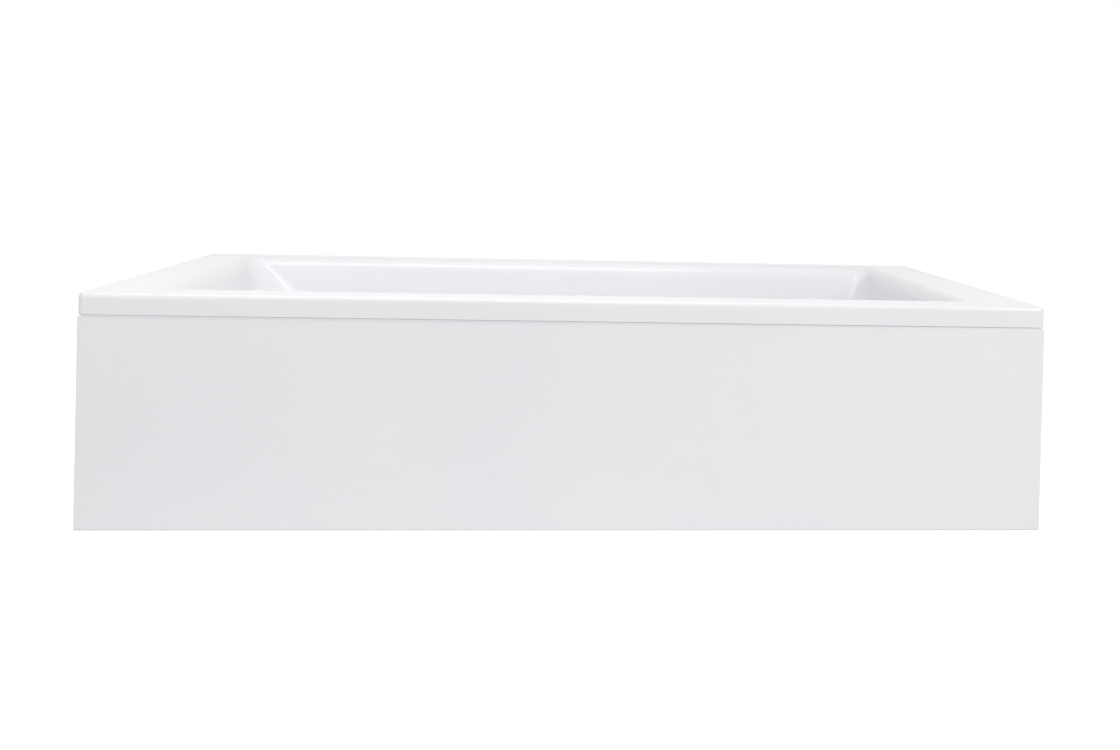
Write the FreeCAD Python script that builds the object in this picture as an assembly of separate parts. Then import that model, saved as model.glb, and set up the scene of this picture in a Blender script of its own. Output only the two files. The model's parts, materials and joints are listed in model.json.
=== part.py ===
import FreeCAD
import Part
import math
import os

V = FreeCAD.Vector

# Alcove bathtub. Origin: centre of the footprint on the room floor.
# +X runs from the head end (sloping backrest) to the foot end (waste and overflow).
# -Y is the open front with the removable panel, +Y the back wall. +Z is up. Millimetres.

# ---------------------------------------------------------------- overall size
LENGTH = 1524.0
WIDTH = 762.0
HEIGHT = 366.0

# ---------------------------------------------------------------- tub moulding
SHELL_T = 4.5            # acrylic sheet
LIP_DEPTH = 34.0         # height of the down-turned lip
LIP_EDGE_R = 8.0         # rounding between deck and lip
CORNER_R = 10.0          # corners of the rim, seen from above
DECK_HEAD = 76.0         # flat deck at the head end
DECK_FOOT = 95.0
DECK_FRONT = 62.0
DECK_BACK = 62.0
SHOULDER_R = 22.0        # rounding from the deck down into the basin
FLOOR_HEIGHT = 104.0     # inside floor above the room floor, at its head end
FLOOR_FALL = 8.0         # the floor drops this much towards the waste
HEAD_LEAN = 26.0         # degrees from upright: backrest
FOOT_LEAN = 9.0
SIDE_LEAN = 6.0
BLEND_HEIGHT = 60.0      # the walls turn into the floor over this height
HEAD_SWEEP = 140.0       # and run inwards by this much while they turn
FOOT_SWEEP = 60.0
SIDE_SWEEP = 60.0
RIM_CORNER_R = 14.0      # inside corners at the rim
HEAD_CORNER_R = 150.0    # inside corners at the floor
FOOT_CORNER_R = 105.0
SHOULDER_STEPS = 4       # level outlines that the basin's surface is drawn through
WALL_STEPS = 4
BLEND_STEPS = 4

# ---------------------------------------------------------------- stiffening
GLUE_GAP = 0.3           # bond line between curved skins, and seat of curved pieces
BACKING_T = 3.5          # glass-fibre layer
BACKING_EDGE = 4.0       # the layer stops this far inside the lip
PAD_R = 44.0             # level pad moulded round the waste hole
PAD_DROP = 2.5           # below the layer's underside
BOARD_T = 15.0
BOARD_MARGIN = 14.0      # board edge inside the flat of the floor
BOARD_CORNER_R = 40.0    # foot end; the head end follows the floor's own corners
BOARD_TO_PAD = 16.0
RAIL_WIDTH = 45.0
RAIL_GAP = 0.5           # rail to lip
RAIL_END_GAP = 7.0       # keeps the rail ends off the rounded corners

# ---------------------------------------------------------------- legs
BEARER_WIDTH = 46.0
BEARER_DEPTH = 24.0
BEARER_T = 2.5
BEARER_BEND_R = 4.0
BEARER_BACK_GAP = 43.0   # back end inside the back lip
HEAD_BEARER_INSET = 82.2 # bearer centres inside the ends of the board
FOOT_BEARER_INSET = 78.0
FOOT_INSET = 79.0        # feet inside the front and back lips
STUD_R = 6.0
STUD_ABOVE = 22.0        # stud end above the channel
THREAD_GAP = 0.05
NUT_ACROSS = 19.0
NUT_T = 9.0
WEB_HOLE_GAP = 0.6
PAD_BASE_R = 28.0
PAD_NECK_R = 12.0
PAD_HEIGHT = 16.0
PAD_SOCKET = 9.0         # depth of the stud in the pad
PAD_EDGE = 1.0           # bevel under the pad
PAD_RIM = 4.0            # height of the upright rim
PAD_NECK = 6.0           # length of the narrow neck
PAD_SIDES = 12

# ---------------------------------------------------------------- screws
SCREW_R = 2.25
SCREW_HEAD_R = 4.5
SCREW_HEAD_T = 2.2
SCREW_LENGTH = 18.0
SCREW_GAP = 0.05
BOARD_SCREW_LENGTH = 11.0
SCREW_END_GAP = 2.0      # a blind hole runs on past the screw
SCREW_SIDES = 8          # flats that stand in for a small round bar
BOARD_SCREWS = 4         # in each bearer
BATTEN_SCREWS = 4

# ---------------------------------------------------------------- front panel
PANEL_GAP = 3.0          # shadow line between lip and panel
PANEL_SET_BACK = 1.0     # the lip stands this much proud
PANEL_END_GAP = 0.5
PANEL_T = 4.0
PANEL_FOOT_GAP = 1.0
PANEL_RETURN = 14.0      # depth of the turned-back edges
PANEL_EDGE_R = 2.5
RIB_WIDTH = 42.0
RIB_T = 9.0
RIB_CLEAR = 3.0
RIB_SPACING = 300.0
RIB_COUNT = 4
BATTEN_WIDTH = 25.0
BATTEN_DEPTH = 25.0
BATTEN_FRONT = 21.0      # batten face behind the front of the lip
BATTEN_LENGTH = 1400.0
CATCH_SPACING = 580.0
CATCH_COUNT = 3
CATCH_DROP = 16.0        # upper catches below the lip
CATCH_BASE_R = 7.5
CATCH_BASE_T = 3.0
CATCH_NECK_R = 2.2
CATCH_HEAD_R = 4.0
CATCH_HEAD_T = 6.0
CATCH_REACH = 14.3       # end of the stud behind the panel's back
SOCKET_R = 7.5
SOCKET_T = 8.7
SOCKET_GAP = 0.3
SOCKET_FLOOR = 1.2

# ---------------------------------------------------------------- wall brackets
BRACKET_T = 3.0
BRACKET_WIDTH = 50.0
BRACKET_LEG = 42.0
BRACKET_DROP = 46.0
BRACKET_HOLE_R = 3.25
BRACKET_HOLE_SPACING = 26.0
BRACKET_HOLE_DROP = 30.0
BRACKET_SPACING = 520.0
BRACKET_COUNT = 3

# ---------------------------------------------------------------- waste
DRAIN_FROM_END = 294.0   # waste centre from the foot end of the tub
DRAIN_HOLE_R = 26.0
FLANGE_R = 34.0
FLANGE_T = 2.4
REBATE = 2.0             # flange recess in the floor
REBATE_GAP = 0.6
THROAT_R = 21.0
FLANGE_BODY_R = 25.0
FLANGE_BODY_DEPTH = 22.0
FLANGE_EDGE = 2.0        # bevel round the flange
FLANGE_SEAT = 3.0        # bevel that the plug closes on
SPIDER_DROP = 12.0       # guide cross below the flange
SPIDER_T = 5.0
SPIDER_ARM = 2.5
SPIDER_HUB_R = 6.0
GASKET_T = 3.0
GASKET_R = 40.0
GASKET_CLEAR = 1.0       # gasket bore outside the waste hole
SHOE_WALL = 3.7
SHOE_RIM_T = 4.0
SHOE_BORE_R = 20.0
SHOE_FLOOR = 4.0
SHOE_EDGE = 6.0          # bevel under the shoe
WASTE_Z = 58.0           # axis of the level run
TUBE_R = 19.05
TUBE_WALL = 1.5
TAIL_END_R = 20.0        # spigot at the free end of the tailpiece
TAIL_NUT_GAP = 0.5       # spigot to slip nut
SOCKET_FIT = 0.1         # tube to socket
FITTING_R = 24.0
SOCKET_DEPTH = 18.0
SHOE_OUTLET = 60.0       # socket mouth from the waste centre
TEE_BRANCH = 40.0        # branch mouth from the upright's axis
TEE_UP = 38.0
TEE_DOWN = 36.0
TAIL_FLOOR_GAP = 2.0
NUT_SIDES = 8            # slip nut
LOCK_NUT_SIDES = 6
SLIP_NUT_ACROSS = 55.0
SLIP_NUT_OVERLAP = 10.0
SLIP_NUT_LIP = 5.0
SLIP_NUT_GAP = 0.3

# ---------------------------------------------------------------- overflow
OVERFLOW_DROP = 85.0     # overflow centre below the deck
OVERFLOW_HOLE_R = 30.0
BEVEL_THIN = 3.0         # thinnest part of the bevelled gasket
ELBOW_FLANGE_R = 42.0
ELBOW_FLANGE_T = 4.0
ELBOW_R = 33.0
ELBOW_THROAT_R = 28.0
ELBOW_BACK = 14.0        # back of the elbow behind the tube axis
ELBOW_BACK_T = 4.0
ELBOW_EDGE_R = 8.0
ELBOW_DOWN = 62.0
TUBE_BEHIND = 26.0       # tube axis behind the elbow flange
BOSS_R = 4.5
BOSS_LENGTH = 14.0
PLATE_R = 40.0
PLATE_RISE = 6.0
PLATE_T = 2.2
PLATE_EDGE = 2.0         # bevel round the cover
PLATE_GAP = 0.3
PLATE_SCREW_Y = 24.5
PLATE_SCREW_R = 2.0
PLATE_SCREW_HEAD_R = 3.7
PLATE_SCREW_HEAD_T = 2.2
PLATE_SEAT = 5.0         # screw heads in front of the wall
SLOT_HALF_HEIGHT = 18.0
INLET_HALF_WIDTH = 13.0
INLET_HEIGHT = 8.0
INLET_DROP = 2.0         # the inlet starts this far below the cover

# ---------------------------------------------------------------- pop-up mechanism
LEVER_TRAVEL = 34.0      # degrees
CRANK = 17.0             # pivot to crank pin
LEVER_REACH = 62.0       # pivot to the end of the finger tab
LEVER_T = 5.0
LEVER_HEIGHT = 6.0
CRANK_EYE_EDGE = 1.0     # the crank eye stands this much outside the arm
TAB_LENGTH = 22.0
TAB_WIDTH = 14.0
TAB_T = 4.0
TAB_CORNER_R = 4.5
EAR_GAP = 0.8
EAR_T = 3.0
EAR_HEIGHT = 10.0
PIN_R = 1.5
PIN_FIT = 0.02
PIN_RUN = 0.05
FORK_GAP = 0.6
FORK_T = 3.0
FORK_HEIGHT = 5.0
FORK_DEPTH = 12.0
FORK_BRIDGE = 6.0
FORK_WIDTH = 9.0
FORK_SLOT_GAP = 0.35
FORK_SLOT_HALF = 1.6
ROD_R = 2.5
ROD_WEIGHT_R = 7.0
ROD_WEIGHT_LENGTH = 14.0
ROD_WEIGHT_EDGE = 2.0
ROCKER_FROM_DRAIN = 92.0 # pivot of the rocker from the waste centre
ROCKER_R = 2.5
ROCKER_TIP_R = 3.5
ROCKER_EYE_R = 5.0
ROCKER_EYE_WIDTH = 8.0
ROCKER_PIN_R = 2.0
LIFT_GAP = 0.3           # between the pieces that push one another
PLUG_R = 30.0
PLUG_RISE = 5.0
PLUG_RIM_T = 1.6
PLUG_CROWN_R = 14.0      # flat top of the cap
PLUG_CORE_R = 15.0
PLUG_CORE_DEPTH = 7.0
STEM_R = 3.0
SEAL_T = 3.0
SEAL_GAP = 0.3

# ---------------------------------------------------------------- working values
NEAR = 0.01              # edges closer than this to a plane lie in it
JOIN = 1.0               # overlap of forms that are fused into one solid

# ---------------------------------------------------------------- worked out
HALF_L = LENGTH / 2
HALF_W = WIDTH / 2
DEPTH = HEIGHT - FLOOR_HEIGHT
LIP_Z = HEIGHT - LIP_DEPTH
BACKING_TOP = SHELL_T + GLUE_GAP
BACKING_OUT = BACKING_TOP + BACKING_T
RAIL_TOP = HEIGHT - BACKING_OUT
RAIL_FACE = HALF_W - SHELL_T - RAIL_GAP
RAIL_END = HALF_L - SHELL_T - RAIL_GAP


def lean(degrees):
    """Sideways run per millimetre of drop."""
    return math.tan(math.radians(degrees))


FLOOR_X0 = -HALF_L + DECK_HEAD + SHOULDER_R + lean(HEAD_LEAN) * DEPTH + HEAD_SWEEP
FLOOR_X1 = HALF_L - DECK_FOOT - SHOULDER_R - lean(FOOT_LEAN) * DEPTH - FOOT_SWEEP
FLOOR_Y0 = -HALF_W + DECK_FRONT + SHOULDER_R + lean(SIDE_LEAN) * DEPTH + SIDE_SWEEP
FLOOR_Y1 = HALF_W - DECK_BACK - SHOULDER_R - lean(SIDE_LEAN) * DEPTH - SIDE_SWEEP


def fall(x):
    """How far the floor has dropped at x."""
    return FLOOR_FALL * (x - FLOOR_X0) / (FLOOR_X1 - FLOOR_X0)


def floor_z(x):
    return FLOOR_HEIGHT - fall(x)


def foot_wall_x(z, outwards=0.0):
    """The foot wall's plane at height z, moved outwards through the layers."""
    return HALF_L - DECK_FOOT - SHOULDER_R - lean(FOOT_LEAN) * (HEIGHT - z) + outwards


DRAIN_X = HALF_L - DRAIN_FROM_END
REBATE_Z = floor_z(DRAIN_X) - REBATE
PAD_Z = floor_z(DRAIN_X) - BACKING_OUT - PAD_DROP
SHOE_TOP = PAD_Z - GASKET_T
BOARD_X0 = FLOOR_X0 + BOARD_MARGIN
BOARD_X1 = DRAIN_X - PAD_R - BOARD_TO_PAD
OVERFLOW_Z = HEIGHT - OVERFLOW_DROP
HEAD_BEARER_X = BOARD_X0 + HEAD_BEARER_INSET
FOOT_BEARER_X = BOARD_X1 - FOOT_BEARER_INSET
BEARER_BACK = HALF_W - BEARER_BACK_GAP
FOOT_Y = HALF_W - FOOT_INSET
TAIL_END_LENGTH = WASTE_Z - TEE_DOWN - SLIP_NUT_LIP - TAIL_NUT_GAP - TAIL_FLOOR_GAP
ELBOW_X = foot_wall_x(OVERFLOW_Z + ELBOW_FLANGE_R, BACKING_OUT) + BEVEL_THIN
UPRIGHT_X = ELBOW_X + TUBE_BEHIND
LEVER_X = UPRIGHT_X - CRANK
HALF_TRAVEL = math.radians(LEVER_TRAVEL / 2)
ROD_TRAVEL = CRANK * math.radians(LEVER_TRAVEL)
ROCKER_X = DRAIN_X + ROCKER_FROM_DRAIN
ROCKER_FAR = UPRIGHT_X - ROCKER_X
ROCKER_TRAVEL = ROD_TRAVEL / ROCKER_FAR
PANEL_TOP = LIP_Z - PANEL_GAP
PANEL_FACE = -HALF_W + PANEL_SET_BACK
PANEL_BACK = PANEL_FACE + PANEL_T
BATTEN_Y = -HALF_W + BATTEN_FRONT
BATTEN_BACK = BATTEN_Y + BATTEN_DEPTH


def bearer_top(x):
    """The board's underside at the channel's lower edge."""
    return floor_z(x + BEARER_WIDTH / 2) - BACKING_OUT - BOARD_T


BOTTOM_BATTEN_Z = bearer_top(FOOT_BEARER_X) - BATTEN_WIDTH
FEET = [(x, y) for x in (HEAD_BEARER_X, FOOT_BEARER_X) for y in (-FOOT_Y, FOOT_Y)]


def evenly(count, spacing):
    return [spacing * (i - (count - 1) / 2) for i in range(count)]


CATCH_PLACES = [(x, z) for z in (LIP_Z - CATCH_DROP, BOTTOM_BATTEN_Z + BATTEN_WIDTH / 2)
                for x in evenly(CATCH_COUNT, CATCH_SPACING)]

X_AXIS = V(1, 0, 0)
Y_AXIS = V(0, 1, 0)
Z_AXIS = V(0, 0, 1)


# ---------------------------------------------------------------- basic forms
def box(xs, ys, zs):
    return Part.makeBox(xs[1] - xs[0], ys[1] - ys[0], zs[1] - zs[0], V(xs[0], ys[0], zs[0]))


def cylinder(start, axis, radius, length):
    return Part.makeCylinder(radius, length, start, axis)


def ring(start, axis, outer, inner, length):
    return cylinder(start, axis, outer, length).cut(cylinder(start, axis, inner, length))


def placed(shape, at, axis):
    """Move a shape made along +Z so that it stands at a point, along an axis."""
    out = shape.copy()
    out.Placement = FreeCAD.Placement(at, FreeCAD.Rotation(Z_AXIS, axis))
    return out


def turned(points):
    """A solid of revolution about Z from (radius, height) corners."""
    corners = [V(r, 0, z) for r, z in points]
    face = Part.Face(Part.makePolygon(corners + corners[:1]))
    return face.revolve(V(0, 0, 0), Z_AXIS, 360)


def plate_prism(points, y0, y1):
    """A plate between two y values from (x, z) corners."""
    corners = [V(x, y0, z) for x, z in points]
    face = Part.Face(Part.makePolygon(corners + corners[:1]))
    return face.extrude(V(0, y1 - y0, 0))


def many_sided(sides, across, start, length):
    """A prism with flats, such as a nut, along +Z from a height."""
    radius = across / 2 / math.cos(math.pi / sides)
    corners = []
    for i in range(sides):
        a = 2 * math.pi * (i + 0.5) / sides
        corners.append(V(radius * math.cos(a), radius * math.sin(a), start))
    face = Part.Face(Part.makePolygon(corners + corners[:1]))
    return face.extrude(V(0, 0, length))


def rounded(shape, radius, wanted):
    """Round the straight or round edges that a test picks."""
    edges = [e for e in shape.Edges if wanted(e)]
    return shape.makeFillet(radius, edges)


def upright(edge):
    box_ = edge.BoundBox
    return box_.XLength < NEAR and box_.YLength < NEAR


def level_at(z):
    return lambda edge: abs(edge.BoundBox.ZMin - z) < NEAR and abs(edge.BoundBox.ZMax - z) < NEAR


def joined(pieces):
    out = pieces[0]
    for piece in pieces[1:]:
        out = out.fuse(piece)
    return out.removeSplitter()


def flat_turned(sides, points):
    """A small repeated turned form, drawn with flats inside its radii, from (radius, height)."""
    rings = []
    for radius, z in points:
        angles = [2 * math.pi * i / sides for i in range(sides)]
        rings.append([V(radius * math.cos(a), radius * math.sin(a), z) for a in angles])
    outlines = [rings[0][::-1], rings[-1]]
    for low, high in zip(rings, rings[1:]):
        for i in range(sides):
            j = (i + 1) % sides
            outlines.append([low[i], low[j], high[j], high[i]])
    faces = [Part.Face(Part.makePolygon(corners + corners[:1])) for corners in outlines]
    return Part.Solid(Part.Shell(faces))


def flat_bar(start, axis, radius, length):
    return placed(flat_turned(SCREW_SIDES, [(radius, 0), (radius, length)]), start, axis)


def screw(at, axis, radius, length, head_r, head_t):
    """A screw whose head sits at a point and whose shank runs along an axis."""
    head = flat_bar(at - axis * head_t, axis, head_r, head_t)
    return head.fuse(flat_bar(at, axis, radius, length)).removeSplitter()


# ---------------------------------------------------------------- basin surface
def shoulder_stations():
    """(run in from the deck edge, drop, share of the floor sweep, normal out, normal down)."""
    stations = []
    for i in range(SHOULDER_STEPS + 1):
        a = math.pi / 2 * i / SHOULDER_STEPS
        run = SHOULDER_R * math.sin(a)
        stations.append((run, SHOULDER_R * (1 - math.cos(a)), 0.0, math.sin(a), math.cos(a)))
    return stations


def wall_stations():
    span = DEPTH - BLEND_HEIGHT - SHOULDER_R
    return [(SHOULDER_R, SHOULDER_R + span * i / WALL_STEPS, 0.0, 1.0, 0.0)
            for i in range(WALL_STEPS + 1)]


def blend_stations():
    stations = []
    for i in range(BLEND_STEPS + 1):
        a = math.pi / 2 * i / BLEND_STEPS
        drop = DEPTH - BLEND_HEIGHT + BLEND_HEIGHT * math.sin(a)
        stations.append((SHOULDER_R, drop, 1 - math.cos(a), math.cos(a), math.sin(a)))
    return stations


def basin_section(station, offset):
    """One level outline of the basin: four sides and four round corners."""
    run, drop, sweep, out, down = station
    move = offset * out
    x0 = -HALF_L + DECK_HEAD + run + lean(HEAD_LEAN) * drop + HEAD_SWEEP * sweep - move
    x1 = HALF_L - DECK_FOOT - run - lean(FOOT_LEAN) * drop - FOOT_SWEEP * sweep + move
    y0 = -HALF_W + DECK_FRONT + run + lean(SIDE_LEAN) * drop + SIDE_SWEEP * sweep - move
    y1 = HALF_W - DECK_BACK - run - lean(SIDE_LEAN) * drop - SIDE_SWEEP * sweep + move
    grown = 1 - (1 - drop / DEPTH) ** 3
    head_r = RIM_CORNER_R + (HEAD_CORNER_R - RIM_CORNER_R) * grown + move
    foot_r = RIM_CORNER_R + (FOOT_CORNER_R - RIM_CORNER_R) * grown + move
    share = (drop / DEPTH) ** 2
    near = 1 - math.sqrt(0.5)

    def at(x, y):
        return V(x, y, HEIGHT - drop - offset * down - share * fall(x))

    def corner(cx, cy, sx, sy, r):
        """Three points of a corner arc, from the side that runs along X."""
        start = at(cx - sx * r, cy)
        middle = at(cx - sx * r * near, cy - sy * r * near)
        return start, middle, at(cx, cy - sy * r)

    foot_front = corner(x1, y0, 1, -1, foot_r)
    foot_back = corner(x1, y1, 1, 1, foot_r)
    head_back = corner(x0, y1, -1, 1, head_r)
    head_front = corner(x0, y0, -1, -1, head_r)
    edges = [
        Part.LineSegment(head_front[0], foot_front[0]),
        Part.Arc(foot_front[0], foot_front[1], foot_front[2]),
        Part.LineSegment(foot_front[2], foot_back[2]),
        Part.Arc(foot_back[2], foot_back[1], foot_back[0]),
        Part.LineSegment(foot_back[0], head_back[0]),
        Part.Arc(head_back[0], head_back[1], head_back[2]),
        Part.LineSegment(head_back[2], head_front[2]),
        Part.Arc(head_front[2], head_front[1], head_front[0]),
    ]
    return Part.Wire([edge.toShape() for edge in edges])


def basin_form(offset):
    """The basin's hollow as a solid, grown outwards through the layers."""
    bands = []
    for stations in (shoulder_stations(), wall_stations(), blend_stations()):
        sections = [basin_section(station, offset) for station in stations]
        bands.append(Part.makeLoft(sections, True, True))
    return joined(bands)


def drain_bore(radius):
    return cylinder(V(DRAIN_X, 0, 0), Z_AXIS, radius, HEIGHT)


def overflow_bore(radius):
    start = V(foot_wall_x(OVERFLOW_Z) - PLATE_R, 0, OVERFLOW_Z)
    return cylinder(start, X_AXIS, radius, 2 * PLATE_R)


def tub_shell():
    rim = box((-HALF_L, HALF_L), (-HALF_W, HALF_W), (LIP_Z, HEIGHT))
    rim = rounded(rim, CORNER_R, upright)
    rim = rounded(rim, LIP_EDGE_R, level_at(HEIGHT))
    under = box((-HALF_L + SHELL_T, HALF_L - SHELL_T), (-HALF_W + SHELL_T, HALF_W - SHELL_T),
                (LIP_Z - SHELL_T, HEIGHT - SHELL_T))
    under = rounded(under, CORNER_R - SHELL_T, upright)
    under = rounded(under, LIP_EDGE_R - SHELL_T, level_at(HEIGHT - SHELL_T))
    shell = rim.cut(under).fuse(basin_form(SHELL_T)).cut(basin_form(0.0))
    rebate = cylinder(V(DRAIN_X, 0, REBATE_Z), Z_AXIS, FLANGE_R + REBATE_GAP, HEIGHT)
    shell = shell.cut(rebate).cut(drain_bore(DRAIN_HOLE_R)).cut(overflow_bore(OVERFLOW_HOLE_R))
    return shell.removeSplitter()


def backing_shell():
    edge = SHELL_T + BACKING_EDGE
    deck = box((-HALF_L + edge, HALF_L - edge), (-HALF_W + edge, HALF_W - edge),
               (RAIL_TOP, HEIGHT - BACKING_TOP))
    deck = rounded(deck, CORNER_R, upright)
    pad = cylinder(V(DRAIN_X, 0, PAD_Z), Z_AXIS, PAD_R, REBATE_Z - PAD_Z)
    layer = deck.fuse(basin_form(BACKING_OUT)).fuse(pad).cut(basin_form(BACKING_TOP))
    layer = layer.cut(drain_bore(DRAIN_HOLE_R)).cut(overflow_bore(OVERFLOW_HOLE_R))
    return layer.removeSplitter()


def board_screw_places():
    places = []
    for x in (HEAD_BEARER_X, FOOT_BEARER_X):
        for y in evenly(BOARD_SCREWS, (FLOOR_Y1 - FLOOR_Y0) / BOARD_SCREWS):
            places.append(V(x, y, bearer_top(x) - BEARER_T))
    return places


def base_board():
    top0 = floor_z(BOARD_X0) - BACKING_OUT
    top1 = floor_z(BOARD_X1) - BACKING_OUT
    corners = [(BOARD_X0, top0), (BOARD_X1, top1), (BOARD_X1, top1 - BOARD_T),
               (BOARD_X0, top0 - BOARD_T)]
    board = plate_prism(corners, FLOOR_Y0 + BOARD_MARGIN, FLOOR_Y1 - BOARD_MARGIN)
    foot_end = lambda e: upright(e) and e.BoundBox.XMax > BOARD_X1 - 1
    head_end = lambda e: upright(e) and e.BoundBox.XMin < BOARD_X0 + 1
    board = rounded(board, BOARD_CORNER_R, foot_end)
    board = rounded(board, HEAD_CORNER_R - BOARD_MARGIN, head_end)
    for place in board_screw_places():
        board = board.cut(flat_bar(place, Z_AXIS, SCREW_R + SCREW_GAP,
                                   BOARD_SCREW_LENGTH + SCREW_END_GAP))
    return board


def bearer_screws():
    return Part.makeCompound([screw(place, Z_AXIS, SCREW_R, BOARD_SCREW_LENGTH, SCREW_HEAD_R,
                                    SCREW_HEAD_T) for place in board_screw_places()])


# ---------------------------------------------------------------- rim rails
def batten_screw_places():
    return [V(x, BATTEN_Y + BATTEN_DEPTH / 2, LIP_Z - BATTEN_WIDTH)
            for x in evenly(BATTEN_SCREWS, CATCH_SPACING / 2)]


def bracket_screw_places():
    y = RAIL_FACE - RAIL_WIDTH / 2
    return [V(x, y, LIP_Z - BRACKET_T) for x in evenly(BRACKET_COUNT, BRACKET_SPACING)]


def long_rail(side):
    """Front (-1) or back (+1) rail, between deck and lip edge."""
    ys = sorted((side * RAIL_FACE, side * (RAIL_FACE - RAIL_WIDTH)))
    return box((-HALF_L + SHELL_T + RAIL_END_GAP, HALF_L - SHELL_T - RAIL_END_GAP), ys,
               (LIP_Z, RAIL_TOP))


def front_rim_rail():
    rail = long_rail(-1)
    for place in batten_screw_places():
        hole = flat_bar(V(place.x, place.y, LIP_Z), Z_AXIS, SCREW_R + SCREW_GAP, SCREW_LENGTH)
        rail = rail.cut(hole)
    return rail


def back_rim_rail():
    rail = long_rail(1)
    for place in bracket_screw_places():
        hole = flat_bar(V(place.x, place.y, LIP_Z), Z_AXIS, SCREW_R + SCREW_GAP, SCREW_LENGTH)
        rail = rail.cut(hole)
    return rail


def short_rail(side):
    """Head (-1) or foot (+1) rail, butted between the long ones."""
    xs = sorted((side * RAIL_END, side * (RAIL_END - RAIL_WIDTH)))
    y = RAIL_FACE - RAIL_WIDTH
    return box(xs, (-y, y), (LIP_Z, RAIL_TOP))


# ---------------------------------------------------------------- legs
def bearer(x):
    """Channel open downwards, with a tab folded down at its front end."""
    top = bearer_top(x)
    half = BEARER_WIDTH / 2
    outer = box((x - half, x + half), (BATTEN_BACK, BEARER_BACK), (top - BEARER_DEPTH, top))
    along = lambda e: level_at(top)(e) and e.BoundBox.YLength > BEARER_WIDTH
    outer = rounded(outer, BEARER_BEND_R, along)
    inner = box((x - half + BEARER_T, x + half - BEARER_T), (BATTEN_BACK + BEARER_T, BEARER_BACK),
                (top - BEARER_DEPTH, top - BEARER_T))
    along = lambda e: level_at(top - BEARER_T)(e) and e.BoundBox.YLength > BEARER_WIDTH
    inner = rounded(inner, BEARER_BEND_R - BEARER_T, along)
    channel = outer.cut(inner)
    for foot_x, foot_y in FEET:
        if foot_x == x:
            channel = channel.cut(cylinder(V(x, foot_y, 0), Z_AXIS, STUD_R + WEB_HOLE_GAP, HEIGHT))
    for place in board_screw_places():
        if place.x == x:
            channel = channel.cut(flat_bar(place, Z_AXIS, SCREW_R + WEB_HOLE_GAP, BEARER_T * 2))
    return channel


def foot_stud(x, y):
    start = PAD_HEIGHT - PAD_SOCKET
    return cylinder(V(x, y, start), Z_AXIS, STUD_R, bearer_top(x) + STUD_ABOVE - start)


def foot_pad(x, y):
    """Tapered plastic pad with a blind socket for the stud."""
    body = flat_turned(PAD_SIDES, [(PAD_BASE_R - PAD_EDGE, 0), (PAD_BASE_R, PAD_EDGE),
                                   (PAD_BASE_R, PAD_RIM), (PAD_NECK_R, PAD_HEIGHT - PAD_NECK),
                                   (PAD_NECK_R, PAD_HEIGHT)])
    socket = cylinder(V(0, 0, PAD_HEIGHT - PAD_SOCKET), Z_AXIS, STUD_R + THREAD_GAP, PAD_SOCKET)
    return placed(body.cut(socket), V(x, y, 0), Z_AXIS)


def lock_nuts():
    nuts = []
    for x, y in FEET:
        for z in (bearer_top(x), bearer_top(x) - BEARER_T - NUT_T):
            nut = many_sided(LOCK_NUT_SIDES, NUT_ACROSS, 0, NUT_T)
            nut = nut.cut(cylinder(V(0, 0, 0), Z_AXIS, STUD_R + THREAD_GAP, NUT_T))
            nuts.append(placed(nut, V(x, y, z), Z_AXIS))
    return Part.makeCompound(nuts)


# ---------------------------------------------------------------- front panel
def front_panel():
    """Shallow tray: flat face, edges turned back all round."""
    half = HALF_L - PANEL_END_GAP
    tray = box((-half, half), (PANEL_FACE, PANEL_BACK + PANEL_RETURN), (PANEL_FOOT_GAP, PANEL_TOP))
    front = lambda e: abs(e.BoundBox.YMax - PANEL_FACE) < NEAR
    tray = rounded(tray, PANEL_EDGE_R, front)
    hollow = box((-half + PANEL_T, half - PANEL_T), (PANEL_BACK, PANEL_BACK + PANEL_RETURN),
                 (PANEL_FOOT_GAP + PANEL_T, PANEL_TOP - PANEL_T))
    return tray.cut(hollow)


def panel_ribs():
    z0 = PANEL_FOOT_GAP + PANEL_T + RIB_CLEAR
    z1 = PANEL_TOP - PANEL_T - RIB_CLEAR
    ribs = []
    for x in evenly(RIB_COUNT, RIB_SPACING):
        rib = box((x - RIB_WIDTH / 2, x + RIB_WIDTH / 2), (PANEL_BACK, PANEL_BACK + RIB_T), (z0, z1))
        back = lambda e: abs(e.BoundBox.YMin - PANEL_BACK - RIB_T) < NEAR and e.BoundBox.ZLength > NEAR
        ribs.append(rib.makeChamfer(RIB_T / 3, [e for e in rib.Edges if back(e)]))
    return Part.makeCompound(ribs)


def catch_studs():
    studs = []
    for x, z in CATCH_PLACES:
        base = flat_turned(SCREW_SIDES, [(CATCH_BASE_R, 0), (CATCH_BASE_R, CATCH_BASE_T)])
        stem = flat_turned(SCREW_SIDES, [(CATCH_NECK_R, 0), (CATCH_NECK_R, CATCH_REACH - CATCH_HEAD_T),
                                         (CATCH_HEAD_R, CATCH_REACH - CATCH_HEAD_T / 2),
                                         (CATCH_NECK_R, CATCH_REACH)])
        stud = base.fuse(stem)
        studs.append(placed(stud, V(x, PANEL_BACK, z), Y_AXIS))
    return Part.makeCompound(studs)


def catch_sockets():
    sockets = []
    for x, z in CATCH_PLACES:
        front = BATTEN_Y - SOCKET_T
        body = flat_bar(V(x, front, z), Y_AXIS, SOCKET_R, SOCKET_T)
        bore = flat_bar(V(x, front, z), Y_AXIS, CATCH_HEAD_R + SOCKET_GAP, SOCKET_T - SOCKET_FLOOR)
        slit = box((x - SOCKET_R, x + SOCKET_R), (front, BATTEN_Y - 2 * SOCKET_FLOOR),
                   (z - SOCKET_FLOOR / 2, z + SOCKET_FLOOR / 2))
        sockets.append(body.cut(bore).cut(slit))
    return Part.makeCompound(sockets)


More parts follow.
